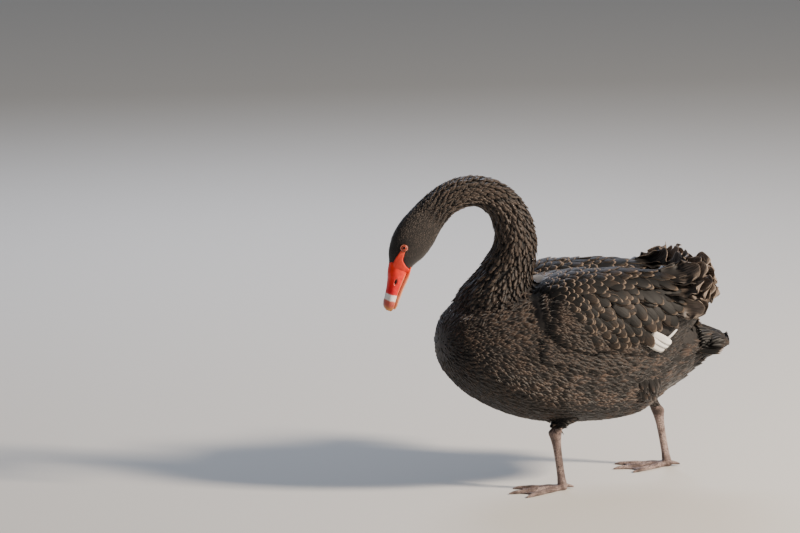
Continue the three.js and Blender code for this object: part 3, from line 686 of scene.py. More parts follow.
# Shares of the neck's stations, with the step between rows and the length of feathers there, in metres.
NECK_SHARES = [0.0, 0.2, 0.42, 0.62, 0.7, 0.8, 0.94]
NECK_PACE = (NECK_SHARES, [0.0075, 0.0065, 0.0052, 0.0042, 0.003, 0.0022, 0.0018])
NECK_SIZE = (NECK_SHARES, [0.024, 0.021, 0.017, 0.013, 0.0095, 0.0065, 0.005])
face_x, face_z, face_depth, face_width, face_ox, face_oz = neck_axis(np.array(EYE_PLACE[0]))
EYE = np.array([face_x + face_ox * EYE_PLACE[1] + SHIFT, 0, face_z + face_oz * EYE_PLACE[1]]) * MM
EYE_GAP = 8.8 * MM  # no feather is rooted this near to the eye's middle, seen from the side
LORE = [  # bare face: share of the neck's stations, upper and lower edge as height from the axis
    (0.792, 16.6, 10.8), (0.83, 18.0, 8.0), (0.862, 19.2, 5.0), (0.9, 19.0, -6.0), (0.93, 17.6, -18.0),
    (0.95, 17.0, -19.0),  # the heights are in millimetres
]


def bare(t, height):
    """True on the bare face between eye and bill."""
    edge = np.array(LORE)
    top = np.interp(t, edge[:, 0], edge[:, 1])
    low = np.interp(t, edge[:, 0], edge[:, 2])
    return (t > edge[0, 0]) & (height < top) & (height > low)


def neck_coat(name, start, stop, finish_used, nodes, seed, tilt, rows, columns):
    """One stretch of the neck's coat."""
    shares = paced(neck, start, stop, NECK_PACE)
    pace = np.interp(shares, *NECK_PACE) * 0.8
    t, angle = staggered(neck, shares, pace, seed=seed)
    height = curve(NECK, t)[:, 2] * np.sin(angle)
    points = neck(t, angle)
    near_eye = np.linalg.norm(points[:, ::2] - EYE[::2], axis=1) < EYE_GAP
    keep = ~bare(t, height) & ~near_eye & ~inside_torso(points, -6.0) & ~inside_wing(points, -6.0)
    t, angle, points = t[keep], angle[keep], points[keep]
    flow = down_the(neck, t, angle, -1)
    on, normal, along = lay(points, flow)
    rng = np.random.default_rng(seed)
    cord = 15 * angle + 1.6 * np.sin(34 * t)
    ridge = np.cos(cord)
    furrow = np.clip((0.66 - t) / 0.08, 0, 1) * np.clip((t - 0.05) / 0.1, 0, 1)
    size = np.interp(t, *NECK_SIZE) * rng.uniform(0.85, 1.15, len(t))
    bend = hug(on, along, size)
    sway = np.cross(normal, along) * (0.12 * rng.normal(size=len(t)) - 0.4 * furrow * np.sin(cord))[:, None]
    along, normal = tilted(unit(along + sway), normal, tilt + 2.5 * furrow * ridge,
                           6 * rng.normal(size=len(t)))
    on = on + normal * (0.0024 * furrow * ridge - 0.0006)[:, None]
    # Painted shade in the furrows between the ridges and painted light on their crests, through each vane's
    # shade.
    vanes(name, on, along, normal, size, size * 0.46, finish_used, nodes, rows=rows, columns=columns,
          shade=0.4 + 0.5 * ridge * furrow, seed=seed, cup=0.2, curl=bend, blunt=0.3)


neck_coat("coat_neck_low", 0.02, 0.30, coat_neck, ["neck_base", "neck_lower"], 11, 6.5, 5, 3)
neck_coat("coat_neck_arch", 0.30, 0.66, coat_neck, ["neck_lower", "neck_middle", "neck_upper"], 12, 7.0,
          5, 3)
neck_coat("coat_head", 0.66, BILL_START - 0.002, coat_head, ["head"], 13, 6.0, 4, 3)

# %% [markdown]
# ## The coat of the body
# Breast feathers are small and rounded, flank feathers long and soft. Their rows run round the body
# and every row lies over the next one behind it. The coat could be one shell with a feather pattern,
# but its edge against the light would be a clean line, where a bird's is broken by tips.

# %% Body feathers
# Shares of the torso's stations, with the step between rows and the length of feathers there, in metres.
BODY_PACE = ([0.0, 0.2, 0.45, 0.8, 1.0], [0.0044, 0.0054, 0.0062, 0.0064, 0.0054])
BODY_SIZE = ([0.0, 0.2, 0.45, 0.75, 0.9, 1.0], [0.016, 0.020, 0.025, 0.030, 0.032, 0.027])


def body_coat(name, start, stop, low, high, seed, used, tilt):
    """One part of the body's coat between two shares and two angles in degrees."""
    shares = paced(torso, start, stop, BODY_PACE)
    pace = np.interp(shares, *BODY_PACE) * 0.85
    t, angle = staggered(torso, shares, pace, math.radians(low), math.radians(high), seed)
    points = torso(t, angle)
    keep = ~inside_wing(points, -9.0) & ~inside_neck(points)
    t, angle, points = t[keep], angle[keep], points[keep]
    flow = down_the(torso, t, angle, 1)
    on, normal, along = lay(points, flow)
    rng = np.random.default_rng(seed)
    size = np.interp(t, *BODY_SIZE) * rng.uniform(0.8, 1.15, len(t))
    bend = hug(on, along, size)
    x, z = points[:, 0], points[:, 2]
    clump = np.sin(70 * x + 3 * np.sin(45 * z)) * np.sin(60 * z + 2 * np.sin(50 * x))
    sway = np.cross(normal, along) * (0.12 * rng.normal(size=len(t)) + 0.16 * clump)[:, None]
    along, normal = tilted(unit(along + sway), normal, tilt + 1.2 * rng.normal(size=len(t)),
                           5 * rng.normal(size=len(t)))
    vanes(name, on - normal * 0.0006, along, normal, size, size * 0.4, used, ["torso"], rows=5, columns=3,
          shade=0.4 + 0.26 * clump, seed=seed, cup=0.14, curl=bend, blunt=0.3)


body_coat("coat_breast_left", 0.0, 0.42, 90, 270, 21, coat_black, 4.2)
body_coat("coat_breast_right", 0.0, 0.42, -90, 90, 24, coat_black, 4.2)
body_coat("coat_belly_left", 0.42, 0.985, 90, 270, 22, coat_flank, 3.0)
body_coat("coat_belly_right", 0.42, 0.985, -90, 90, 23, coat_flank, 3.0)

# %% [markdown]
# ## Flanks over the wings
# A swan at rest tucks the front and lower edge of its wings under the breast and flank feathers. The
# wing could be sunk into the body instead, but then its edge would show as a crease. So these feathers
# are rooted on a lattice seen from the side and moved onto the skin, across body and wing alike.

# %% Flank feathers
# Both tables hold x, then the height at that x, in millimetres.
WING_EDGE = ([-112, -70, 0, 55, 98, 130, 160, 190, 240], [270, 254, 249, 251, 262, 278, 290, 299, 308])


def wing_edge(x):
    """Height of the wing's lower edge at x, in millimetres."""
    return np.interp(x, *WING_EDGE)


LAP = ([-128, -95, -46, 0, 55, 72, 84], [388, 345, 300, 287, 276, 268, 244])


def lap(x):
    """Height up to which the breast and flank feathers lap over the wing at x, in millimetres."""
    return np.interp(x, *LAP)


def lattice(x_range, z_range, stagger, jitter, rng):
    """Places x and z, in millimetres, of feathers in columns: every second one moved by the stagger,
    and each place moved at random by up to the jitter."""
    x, z = np.meshgrid(np.arange(*x_range), np.arange(*z_range), indexing="ij")
    x = (x + stagger * (np.arange(x.shape[1]) % 2)[None]).ravel()
    x = x + rng.uniform(-jitter, jitter, x.size)
    return x, z.ravel() + rng.uniform(-jitter, jitter, x.size)


for side, name in SIDES:
    rng = np.random.default_rng(27)
    x, z = lattice((-132, 80, 5.2), (222, 392, 4.8), 2.6, 1.6, rng)
    keep = (z < lap(x) + rng.uniform(-5, 3, x.size)) & (z > wing_edge(x) - 30 + 0.25 * np.maximum(x, 0))
    x, z = x[keep], z[keep]
    on, normal, along = lay(place(x, side * 150.0, z), np.tile([1.0, 0.0, -0.2], (len(x), 1)))
    keep = ~inside_neck(on) & (np.abs(on[:, 1]) > 0.03)
    x, on, normal, along = x[keep], on[keep], normal[keep], along[keep]
    size = np.interp(x, [-130, 0], [0.021, 0.028]) * rng.uniform(0.85, 1.15, len(x))
    bend = hug(on, along, size)
    clump = np.sin(0.07 * x + 3 * np.sin(45 * on[:, 2])) * np.sin(60 * on[:, 2] + 2 * np.sin(0.05 * x))
    sway = np.cross(normal, along) * (0.12 * rng.normal(size=len(x)) + 0.16 * clump)[:, None]
    along, normal = tilted(unit(along + sway), normal, 4.5 + 1.2 * rng.normal(size=len(x)),
                           5 * rng.normal(size=len(x)))
    vanes("coat_flank_" + name, on + normal * 0.0012, along, normal, size, size * 0.4, coat_black,
          ["torso", "wing_" + name], rows=5, columns=3, shade=0.42 + 0.12 * clump, seed=28, cup=0.14,
          curl=bend, blunt=0.3)

# %% [markdown]
# ## Thighs
# Short feathers sleeve the thigh down to just over the hock. They could be part of the body's coat, but
# their rows run round the leg, so they are rooted on the limb's own surface.

# %% Thigh feathers
for k, name in enumerate(LEGS):
    shape = thigh(name)
    shares = np.linspace(0.1, 0.95, 12)
    t, angle = staggered(partial(limb, shape), shares, 0.006, seed=31 + k)
    points = limb(shape, t, angle)
    keep = ~inside_torso(points, -6.0)
    t, angle, points = t[keep], angle[keep], points[keep]
    flow = down_the(partial(limb, shape), t, angle, -1)
    on, normal, along = lay(points, flow)
    size = 0.03 - 0.012 * np.clip((0.35 - t) / 0.25, 0, 1)
    along, normal = tilted(along, normal, 9.0)
    vanes("coat_thigh_" + name, on, along, normal, size, 0.011, coat_black, ["thigh_" + name], shade=0.35,
          seed=31 + k)

# %% [markdown]
# ## Wings
# A folded wing is tiers of stiffer feathers with pale rims: small rounded ones at the shoulder, then
# longer coverts, and behind them the broad curled feathers that make this swan's back look ruffled.
# Each feather could be placed by hand. Rows with a growing pace and length give the tiers, and a rule
# for how steeply they hang gives their lie.

# %% Wing coverts
def wing_frame(side, t, angle):
    """Point of a wing's surface with its rearward, downward and outward directions."""
    point = wing(side, t, angle)
    back = unit(wing(side, t + 2e-3, angle) - wing(side, t - 2e-3, angle))
    up = unit(wing(side, t, angle + 0.02) - wing(side, t, angle - 0.02))
    normal = unit(np.cross(back, up)) * -side
    down = -unit(up - (up * back).sum(1, keepdims=True) * back)
    return point, back, down, normal


def wing_lie(t, angle):
    """How far feathers point below straight back, in degrees: most at the outside of the wing's rear,
    none at its crest and inside."""
    steep = np.interp(t, [0.0, 0.2, 0.4, 0.55, 0.68, 0.8], [16, 30, 48, 62, 72, 70])
    return steep * np.clip(1 - np.maximum(np.degrees(angle) - 12, 0) / 84, 0, 1) ** 0.8


# Shares of the wing's stations, with the step between rows and the length of feathers there, in metres.
COVERT_PACE = ([0.0, 0.2, 0.4, 0.6, 0.8], [0.0085, 0.011, 0.014, 0.019, 0.022])
COVERT_SIZE = ([0.0, 0.2, 0.4, 0.55, 0.66, 0.8], [0.022, 0.030, 0.041, 0.055, 0.070, 0.060])
COVERT_WIDTH = ([0.0, 0.3, 0.6, 0.8], [0.015, 0.022, 0.031, 0.032])
for side, name in SIDES:
    surface = partial(wing, side)
    shares = paced(surface, 0.02, 0.76, COVERT_PACE)
    width_at = np.interp(shares, *COVERT_WIDTH)
    t, angle = staggered(surface, shares, width_at * 0.6, math.radians(-34), math.radians(152), 43,
                         scatter=0.28)
    rng = np.random.default_rng(44)
    on, back, down, normal = wing_frame(side, t, angle)
    turn = np.radians(wing_lie(t, angle) + 7 * rng.normal(size=len(t)))[:, None]
    along = unit(back * np.cos(turn) + down * np.sin(turn))
    size = np.interp(t, *COVERT_SIZE) * rng.uniform(0.85, 1.12, len(t))
    wide = np.interp(t, *COVERT_WIDTH) * rng.uniform(0.9, 1.1, len(t))
    tip = (on + along * size[:, None]) / MM
    root = on / MM
    low_rear = (t > 0.62) & (np.degrees(angle) < 2)
    keep = (tip[:, 2] > wing_edge(tip[:, 0] - SHIFT) - 5) & ~low_rear & ~inside_torso(on, -9.0)
    x, z = root[:, 0] - SHIFT, root[:, 2]
    keep &= (np.degrees(angle) > 90) | (z > lap(x) - 12) | (x > LAP[0][-1])
    on, along, normal, size, wide = on[keep], along[keep], normal[keep], size[keep], wide[keep]
    bend = hug(on, along, size)
    along, normal = tilted(along, normal, 4.0 + 1.2 * rng.normal(size=len(on)),
                           -side * 4 + 4 * rng.normal(size=len(on)))
    vanes("feathers_wing_" + name, on - normal * 0.002, along, normal, size, wide, coat_wing,
          ["wing_" + name], rows=8, columns=7, shade=0.4, slot="wing_plumage", cup=0.1, curl=bend,
          seed=41, waist=0.6, blunt=0.62, point=0.34)

# %% [markdown]
# The coverts leave the wing's front and its rear end open. Longer coverts would stick out there, where
# the surface turns away, so small soft feathers of the body's kind close both ends.

# %% Front and rear of the wing
def wing_ends(part, start, stop, pace, length, shade, seed):
    """Small soft feathers between two shares of each wing, where the coverts leave its flesh open."""
    for side, name in SIDES:
        surface = partial(wing, side)
        shares = paced(surface, start, stop, ([0, 1], [pace, pace]))
        t, angle = staggered(surface, shares, pace, math.radians(-75), math.radians(190), seed)
        on, back, down, normal = wing_frame(side, t, angle)
        keep = ~inside_torso(on, -4.0)
        on, normal, along = lay(on[keep], (back + 0.5 * down)[keep])
        rng = np.random.default_rng(seed + 1)
        size = length * rng.uniform(0.85, 1.15, len(on))
        bend = hug(on, along, size)
        along, normal = tilted(along, normal, 3.5, 5 * rng.normal(size=len(on)))
        vanes(part + name, on - normal * 0.001, along, normal, size, size * 0.5, coat_black,
              ["wing_" + name], rows=5, columns=3, shade=shade, slot="wing_plumage", curl=bend,
              seed=seed + 2, cup=0.14, blunt=0.4)


wing_ends("coat_wing_front_", 0.004, 0.13, 0.0056, 0.019, 0.36, 55)
# The rear ones take a darker shade than the front ones: painted shade for the shadowed rear of the wing.
wing_ends("coat_wing_rear_", 0.6, 0.99, 0.0085, 0.03, 0.15, 45)

# %% [markdown]
# The black swan's flight feathers are white. On a folded wing only a few of their tips show, under
# the wing's lower edge between flank and rump. The hidden rest could be built too, but it would only
# push through the coverts, so the tips alone are placed, each by its root and its end.

# %% White flight feathers
FLIGHT = [  # x and z of root and tip, width, all in millimetres
    (70, 266, 112, 241, 18), (78, 273, 121, 249, 16), (86, 278, 127, 255, 14), (110, 246, 141, 270, 6),
]
for side, name in SIDES:
    row = np.array(FLIGHT, float)
    flow = np.stack([row[:, 2] - row[:, 0], np.zeros(len(row)), row[:, 3] - row[:, 1]], -1)
    on, normal, along = lay(place(row[:, 0], side * 150.0, row[:, 1]), flow)
    size = np.linalg.norm(flow, axis=1) * MM * 1.05
    bend = hug(on, along, size)
    lift = (4.8 + 0.5 * np.arange(len(row)))[:, None] * MM
    along, normal = tilted(along, normal, 4.0)
    vanes("feathers_flight_" + name, on + normal * lift, along, normal, size, row[:, 4] * MM, coat_white,
          ["wing_" + name], rows=10, columns=5, curl=bend, slot="wing_plumage", seed=42, waist=0.8,
          cup=0.05, blunt=0.7, point=0.2, vary=0.5)

# %% [markdown]
# ## Back
# Between the wings the shoulder feathers lie like a shawl: broad, flat and pointing straight back.
# Wing coverts alone would leave a valley there, so a low surface between the wings carries them.

# %% Shoulder feathers
shares = np.linspace(0.04, 0.97, 19)
t, angle = staggered(mantle, shares, 0.0125, math.radians(8), math.radians(172), 71)
points = mantle(t, angle)
keep = ~inside_neck(points)
t, angle, points = t[keep], angle[keep], points[keep]
on, normal, along = lay(points, down_the(mantle, t, angle, 1))
rng = np.random.default_rng(72)
size = np.interp(t, [0, 0.3, 1], [0.03, 0.044, 0.05]) * rng.uniform(0.88, 1.1, len(t))
bend = hug(on, along, size)
along, normal = tilted(unit(along + np.cross(normal, along) * 0.1 * rng.normal(size=(len(t), 1))), normal,
                       4.0, 5 * rng.normal(size=len(t)))
vanes("feathers_back", on - normal * 0.0012, along, normal, size, size * 0.55, coat_wing, ["torso"],
      rows=8, columns=7, shade=0.3, cup=0.1, curl=bend, seed=73, waist=0.6, blunt=0.6)

# %% [markdown]
# ## Curled feathers
# The inner flight feathers of this swan twist and curl upwards, with crimped rims. Each one is a long
# broad vane whose heading turns through most of a right angle or more before its tip. They stand in
# layers, each shorter and more curled than the one in front of it. They could be sculpted one by one.
# Random turns, rolls and waves in a fixed order do it too, and every run gives the same cluster.

# %% Curled feathers
LAYERS, IN_LAYER = 4, 6
layer, step = [v.ravel() for v in np.meshgrid(np.arange(LAYERS), np.arange(IN_LAYER), indexing="ij")]
for side, name in SIDES:
    rng = np.random.default_rng(50)
    number = len(layer)
    t = 0.60 + 0.075 * layer + 0.012 * (step % 2) + rng.uniform(-0.01, 0.01, number)
    angle = np.radians(106 - 17.0 * step - 8 * (layer % 2) + rng.uniform(-3, 3, number) + 3 * layer)
    on, back, down, normal = wing_frame(side, t, angle)
    turn = np.radians(-12 + 6.5 * step + rng.uniform(-12, 12, number))[:, None]
    along = unit(back * np.cos(turn) + down * np.sin(turn))
    along, normal = tilted(along, normal, 12 + 5 * layer, rng.uniform(-30, 30, number))
    by_step = np.interp(step, [0, 2, 5], [0.9, 1, 0.86])
    size = (0.086 - 0.009 * layer) * rng.uniform(0.85, 1.08, number) * by_step
    bend = np.radians(76 + 13 * layer + rng.uniform(-18, 22, number))
    # Painted light: the high shade makes these webs pale, for the light on their faces.
    vanes("feathers_curled_" + name, on - normal * 0.0022, along, normal, size,
          0.044 * rng.uniform(0.85, 1.1, number), coat_curl, ["wing_" + name], rows=34, columns=13,
          curl=bend, twist=rng.uniform(-0.7, 0.7, number), cup=-0.12, ruffle=0.0055, slot="wing_plumage",
          shade=0.68, seed=51, waist=0.4, blunt=0.66, thick=0.0007)

# %% [markdown]
# ## Tail
# The tail is short: stiff feathers fanned flat, the middle pair on top, with coverts over their roots.
# One plate with grooves would look the same from above, but its edge would not. Each feather is its
# own vane, a little lower and shorter than the one inside it.

# %% Tail feathers
PAIRS = 8
number = np.arange(PAIRS)
tail_parts = []
for side in (-1, 1):
    turn = np.radians(5.0 * (number + 0.45) * 0.75)
    along = unit(np.stack([np.cos(turn), side * np.sin(turn), np.full(PAIRS, -0.16)], -1))
    normal = unit(np.cross(along, np.cross([0.16, side * 0.16, 1.0], along)))
    root = place(206 - 1.6 * number, side * (4 + 4.9 * number),
                 243 - 1.9 * number - (0.9 if side > 0 else 0))
    tail_parts.append((root, along, normal, (66 - 2.6 * number) * MM, np.full(PAIRS, 0.024)))
vanes("feathers_tail", *map(np.concatenate, zip(*tail_parts)), coat_wing, ["tail"], rows=12, columns=7,
      shade=0.15, cup=0.08, seed=61, waist=0.7)

# %% [markdown]
# The body tapers into the tail under long soft coverts. They could be rooted on the torso only, but it
# ends too bluntly, so they lie in rings on a cone that carries its outline on.

# %% Rump and under-tail coverts
t, angle = staggered(rump, paced(rump, 0.3, 0.95, ([0, 1], [0.006, 0.006])), 0.0056, seed=62)
points = rump(t, angle)
keep = ~inside_torso(points, -20.0)
t, angle, points = t[keep], angle[keep], points[keep]
depth = np.where(inside_torso(points, 0.0), -0.0016, 0.001)[:, None]
on, normal, along = lay(points, down_the(rump, t, angle, 1))
rng = np.random.default_rng(63)
size = 0.036 * rng.uniform(0.85, 1.12, len(t)) * np.interp(t, [0.7, 1.0], [1.0, 0.6])
bend = hug(on, along, size)
sway = np.cross(normal, along) * (0.1 * rng.normal(size=len(t)))[:, None]
along, normal = tilted(unit(along + sway), normal, 3.5, 5 * rng.normal(size=len(t)))
vanes("coat_rump", on + normal * depth, along, normal, size, size * 0.36, coat_black, ["tail", "torso"],
      rows=6, columns=3, shade=0.3, curl=bend, seed=64, cup=0.14, blunt=0.3)

# %% [markdown]
# Where torso and rump meet, a step would show. Filling it with more flesh would change the outline, so
# soft feathers bridge it: the nearer one is to the tail, the more it points straight at the tail's end.

# %% Soft feathers from flank to tail
TAIL_AIM = (262.0, 0.0, 238.0)
for side, name in SIDES:
    rng = np.random.default_rng(65)
    x, z = lattice((140, 204, 4.8), (196, 288, 5.4), 2.4, 1.5, rng)
    aim = place(*TAIL_AIM)
    on, normal, along = lay(place(x, side * 110.0, z), np.tile([1.0, 0.0, 0.0], (len(x), 1)))
    keep = (side * on[:, 1] > 0.004) & (on[:, 0] < aim[0] - 0.03) & ~inside_wing(on, -3.0)
    on, normal, along = on[keep], normal[keep], along[keep]
    share = np.clip((on[:, :1] / MM - SHIFT - 140) / 50, 0, 1)
    along = unit(along * (1 - 0.75 * share) + unit(aim - on) * (0.25 + 0.5 * share))
    normal = unit(normal - (normal * along).sum(1, keepdims=True) * along)
    size = np.minimum(0.042 * rng.uniform(0.85, 1.15, len(on)), 0.8 * np.linalg.norm(aim - on, axis=1))
    along, normal = tilted(along, normal, 2.0 + 1.5 * rng.normal(size=len(on)),
                           6 * rng.normal(size=len(on)))
    vanes("coat_vent_" + name, on, along, normal, size, size * 0.34, coat_flank, ["torso", "tail"],
          rows=6, columns=3, shade=0.36 + 0.2 * np.sin(0.9 * x[keep]), seed=66, cup=0.16, curl=-0.12,
          blunt=0.3)

# %% [markdown]
# Flank feathers hang in a loose tuft over each rear flank. Rooted low and pointing down, they break the
# smooth line of the belly as they do on the bird.

# %% Tufts above the legs
for side, name in SIDES:
    rng = np.random.default_rng(33)
    x, z = lattice((74, 130, 5.5), (166, 200, 6.5), 0.0, 2.5, rng)
    on, normal, along = lay(place(x, side * 150.0, z), np.tile([0.45, 0.0, -1.0], (len(x), 1)))
    size = 0.038 * rng.uniform(0.8, 1.15, len(x)) * (1 - 0.3 * np.abs(x - 102) / 28)
    along, normal = tilted(along, normal, 9.0 + 2.5 * rng.normal(size=len(x)), 9 * rng.normal(size=len(x)))
    vanes("feathers_tuft_" + name, on - normal * 0.001, along, normal, size, size * 0.4, coat_flank,
          ["torso"], rows=6, columns=5, shade=0.35, seed=34, cup=0.16, curl=-0.25, blunt=0.35)

# %% [markdown]
# ## Bill
# The bill is waxy red keratin with a pale band before its nail. It could be cut into coloured pieces,
# but its colours run into one another, so one finish reads a map that runs from root to tip. Pale
# cutting edge, painted shade inside the nostril and a painted highlight round its rim come from numbers
# stored at the points.

# %% Bill
BILL_LENGTH = 74  # millimetres along its ridge
# Both halves: share of the length, top, bottom, half width.
BILL_UPPER = [
    (-0.12, 20.6, -13.9, 15.8), (0.12, 18.2, -12.6, 15.2), (0.3, 14.6, -10.6, 14.4), (0.5, 11.8, -8.8, 13.6),
    (0.7, 10.4, -8.0, 13.6), (0.84, 9.8, -8.4, 13.2), (0.94, 7.4, -8.2, 10.5), (1.0, 2.4, -6.4, 5.5),
]
BILL_LOWER = [
    (-0.12, -12.0, -17.6, 12.6), (0.06, -11.6, -18.2, 13.4), (0.16, -10.9, -18.0, 13.8),
    (0.3, -9.4, -16.4, 13.5), (0.5, -7.8, -14.2, 12.9), (0.7, -7.0, -13.0, 12.8), (0.84, -7.4, -12.6, 11.6),
    (0.93, -7.4, -11.4, 8.6),
]
root_x, root_z = [float(v) for v in neck_axis(np.array(BILL_START))[:2]]
reach = np.array([-21, -68]) / math.hypot(21, 68)
rise_way = np.array([reach[1], -reach[0]])


def bill_point(share, height, side):
    """Point of the bill: share of its length, height over its axis and distance to the side, in mm."""
    x = root_x + reach[0] * (0.35 + share * BILL_LENGTH) + rise_way[0] * height
    z = root_z + reach[1] * (0.35 + share * BILL_LENGTH) + rise_way[1] * height
    return place(x, side, z)


def bill_half(table, rows, columns, dent):
    """Superellipse sections, power 2.4; the upper half is dented by nostrils and edged by a ridge."""
    t = np.linspace(0, 1, rows)[:, None]
    angle = np.linspace(0, 2 * math.pi, columns, endpoint=False)[None]
    share, high, low, width = np.moveaxis(curve(table, np.repeat(t, columns, 1)), -1, 0)
    out = power(np.cos(angle), 2 / 2.4) + 0 * t
    up = power(np.sin(angle), 2 / 2.4) + 0 * t
    height = (high + low) / 2 + up * (high - low) / 2
    side = width * out
    if dent:
        away = ((share - 0.3) / 0.075) ** 2 + ((height - 5.0) / 2.3) ** 2
        side = side * (1 - 0.22 * np.exp(-away ** 2))
        side = side * (1 + 0.035 * np.exp(-((away - 1.9) / 0.9) ** 2))
        side = side * (1 + 0.05 * np.exp(-((height - low - 1.6) / 1.4) ** 2))
    pit = np.exp(-away ** 2) if dent else np.zeros(side.shape)
    return bill_point(share, height, side), share, angle + 0 * t, pit


def waxy(name, stops, rough):
    """Keratin skin: colour along the bill from its map, mottled, with fine pores as bump."""
    made, tree, body = finish(name, Roughness=rough, Subsurface_Weight=0.06, Subsurface_Scale=0.003,
                              Coat_Weight=0.22, Coat_Roughness=0.16, Specular_IOR_Level=0.35)
    body.inputs["Subsurface Radius"].default_value = (1.0, 0.3, 0.15)
    place_on_bill = add(tree, "ShaderNodeUVMap", uv_map="Bill").outputs["UV"]
    way = add(tree, "ShaderNodeSeparateXYZ", {"Vector": place_on_bill})
    spot = add(tree, "ShaderNodeTexCoord").outputs["Object"]
    cloud = add(tree, "ShaderNodeTexNoise", {"Vector": spot}, Scale=130.0, Detail=4.0).outputs["Fac"]
    wander = add(tree, "ShaderNodeMath", {0: cloud, 2: way.outputs["X"]}, operation="MULTIPLY_ADD",
                 _1=0.05).outputs[0]
    base = ramp(tree, wander, stops)
    mottle = ramp(tree, cloud, [(0.35, 0.78), (0.65, 1.12)])
    tint = add(tree, "ShaderNodeMix", {"A": base, "B": mottle}, data_type="RGBA", blend_type="MULTIPLY")
    tint.inputs["Factor"].default_value = 0.7
    # Painted shade inside the nostril's dent and a painted highlight round its rim.
    pit = add(tree, "ShaderNodeAttribute", attribute_name="pit").outputs["Fac"]
    nostril_paint_share = ramp(tree, pit, [(0.0, 0.0), (0.06, 0.0), (0.2, 0.35), (0.42, 0.35), (0.6, 1.0)])
    nostril_painted_shade_and_highlight = ramp(tree, pit, [(0.0, "#f09a84"), (0.42, "#f09a84"), (0.6, "#2a0604")])
    with_painted_nostril = add(tree, "ShaderNodeMix", {"Factor": nostril_paint_share, "A": tint.outputs["Result"], "B": nostril_painted_shade_and_highlight},
                data_type="RGBA")
    rim = add(tree, "ShaderNodeAttribute", attribute_name="cutting_edge").outputs["Fac"]
    edged = add(tree, "ShaderNodeMix", {"Factor": rim, "A": with_painted_nostril.outputs["Result"]}, data_type="RGBA")
    edged.inputs["B"].default_value = linear("#f4b088")
    tree.links.new(edged.outputs["Result"], body.inputs["Base Color"])
    pores = add(tree, "ShaderNodeTexNoise", {"Vector": spot}, Scale=900.0, Detail=3.0).outputs["Fac"]
    bump = add(tree, "ShaderNodeBump", {"Height": pores}, Strength=0.25, Distance=0.0003)
    tree.links.new(bump.outputs["Normal"], body.inputs["Normal"])
    return made


# Upper bill: polished by use, so small soft highlights slide along the red.
bill_red = waxy("keratin_waxy_red", [
    (0.0, "#f22a0e"), (0.25, "#f01c0a"), (0.45, "#e60a10"), (0.6, "#da061c"), (0.632, "#dc4038"),
    (0.655, "#f3ece6"), (0.77, "#f1e8e0"), (0.80, "#c8604e"), (0.9, "#b04c42"), (1.0, "#d08a3c")], 0.36)
# Bare face: live skin, paler towards the eye and less shiny than the bill.
face_red = waxy("bare_skin_red", [(0.0, "#ee6a4a"), (0.3, "#f23a1c"), (1.0, "#f22a0e")], 0.5)
# Lower jaw: thinner, more orange keratin that pales towards the tip.
jaw_orange = waxy("keratin_jaw_orange", [(0.0, "#ee5a2c"), (0.5, "#ee6a34"), (1.0, "#f08c50")], 0.42)

for name, table, dent, used in (("bill_upper", BILL_UPPER, True, bill_red),
                                ("bill_lower", BILL_LOWER, False, jaw_orange)):
    points, share, angle, pit = bill_half(table, 150, 128, dent)
    shape, quads = tube(points)
    way = np.stack([share, angle / (2 * math.pi)], -1).reshape(-1, 2)
    way = np.vstack([way, way[0], way[-1]])
    rise = (-np.sin(angle) - 0.45) / 0.4 if dent else (np.sin(angle) + 0.85) / 0.4
    edge = 0.8 * np.clip(rise, 0, 1) * np.clip((share + 0.02) / 0.2, 0, 1)
    poles = [0, 0]
    numbers = {"pit": np.append(pit.ravel(), poles), "cutting_edge": np.append(edge.ravel(), poles)}
    piece = build("waxy_" + name, shape, quads, used, uvs={"Bill": way}, numbers=numbers)
    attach(piece, "root")
    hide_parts(name)
print("bill", BILL_LENGTH, "mm from feathers to nail")

# %% [markdown]
# ## Bare face, eyelids and eyes
# Red skin runs from the bill up to the eye. Painting it on the skin would leave it under the coat's
# level, so it is a thin raised patch that follows the head, its border sunk under the feathers.

# %% Bare face
def face_patch(side, rows=40, columns=24):
    """Patch between the two edges of the bare face, raised 0.6 mm and sunk 1.8 mm at its border."""
    a = np.linspace(0, 1, rows)[:, None]
    b = np.linspace(0, 1, columns)[None]
    edge = curve(LORE, np.repeat(a, columns, 1))
    t = edge[..., 0]
    height = edge[..., 2] + (edge[..., 1] - edge[..., 2]) * b
    border = np.minimum(np.minimum(b, 1 - b) * 6, np.minimum(a * 5, (1 - a) * 4))
    grow = -1.8 + 2.4 * np.clip(border, 0, 1) ** 0.6
    depth = curve(NECK, t)[..., 2]
    angle = np.arcsin(np.clip(height / depth, -0.985, 0.985))
    angle = angle if side > 0 else math.pi - angle
    points = neck(t, angle, grow)
    order = np.arange(rows * columns).reshape(rows, columns)
    quads = np.stack([order[:-1, :-1], order[:-1, 1:], order[1:, 1:], order[1:, :-1]], -1).reshape(-1, 4)
    quads = quads if side < 0 else quads[:, ::-1]
    return points.reshape(-1, 3), quads, np.stack(np.broadcast_arrays(a, b), -1).reshape(-1, 2)


for side, name in SIDES:
    points, quads, way = face_patch(side)
    piece = build("bare_face_" + name, points, quads, face_red, uvs={"Bill": way})
    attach(piece, "root")
    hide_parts("head")
    print("bare face", name, len(quads), "faces")

# %% [markdown]
# The eye is a ball whose middle lies under the skin, in a soft ring of bare lid. Iris and pupil could
# be discs behind a clear cornea. At this size a wet ball with rings of colour, measured from the
# pupil's middle, looks nearly the same, and it stays one closed form.

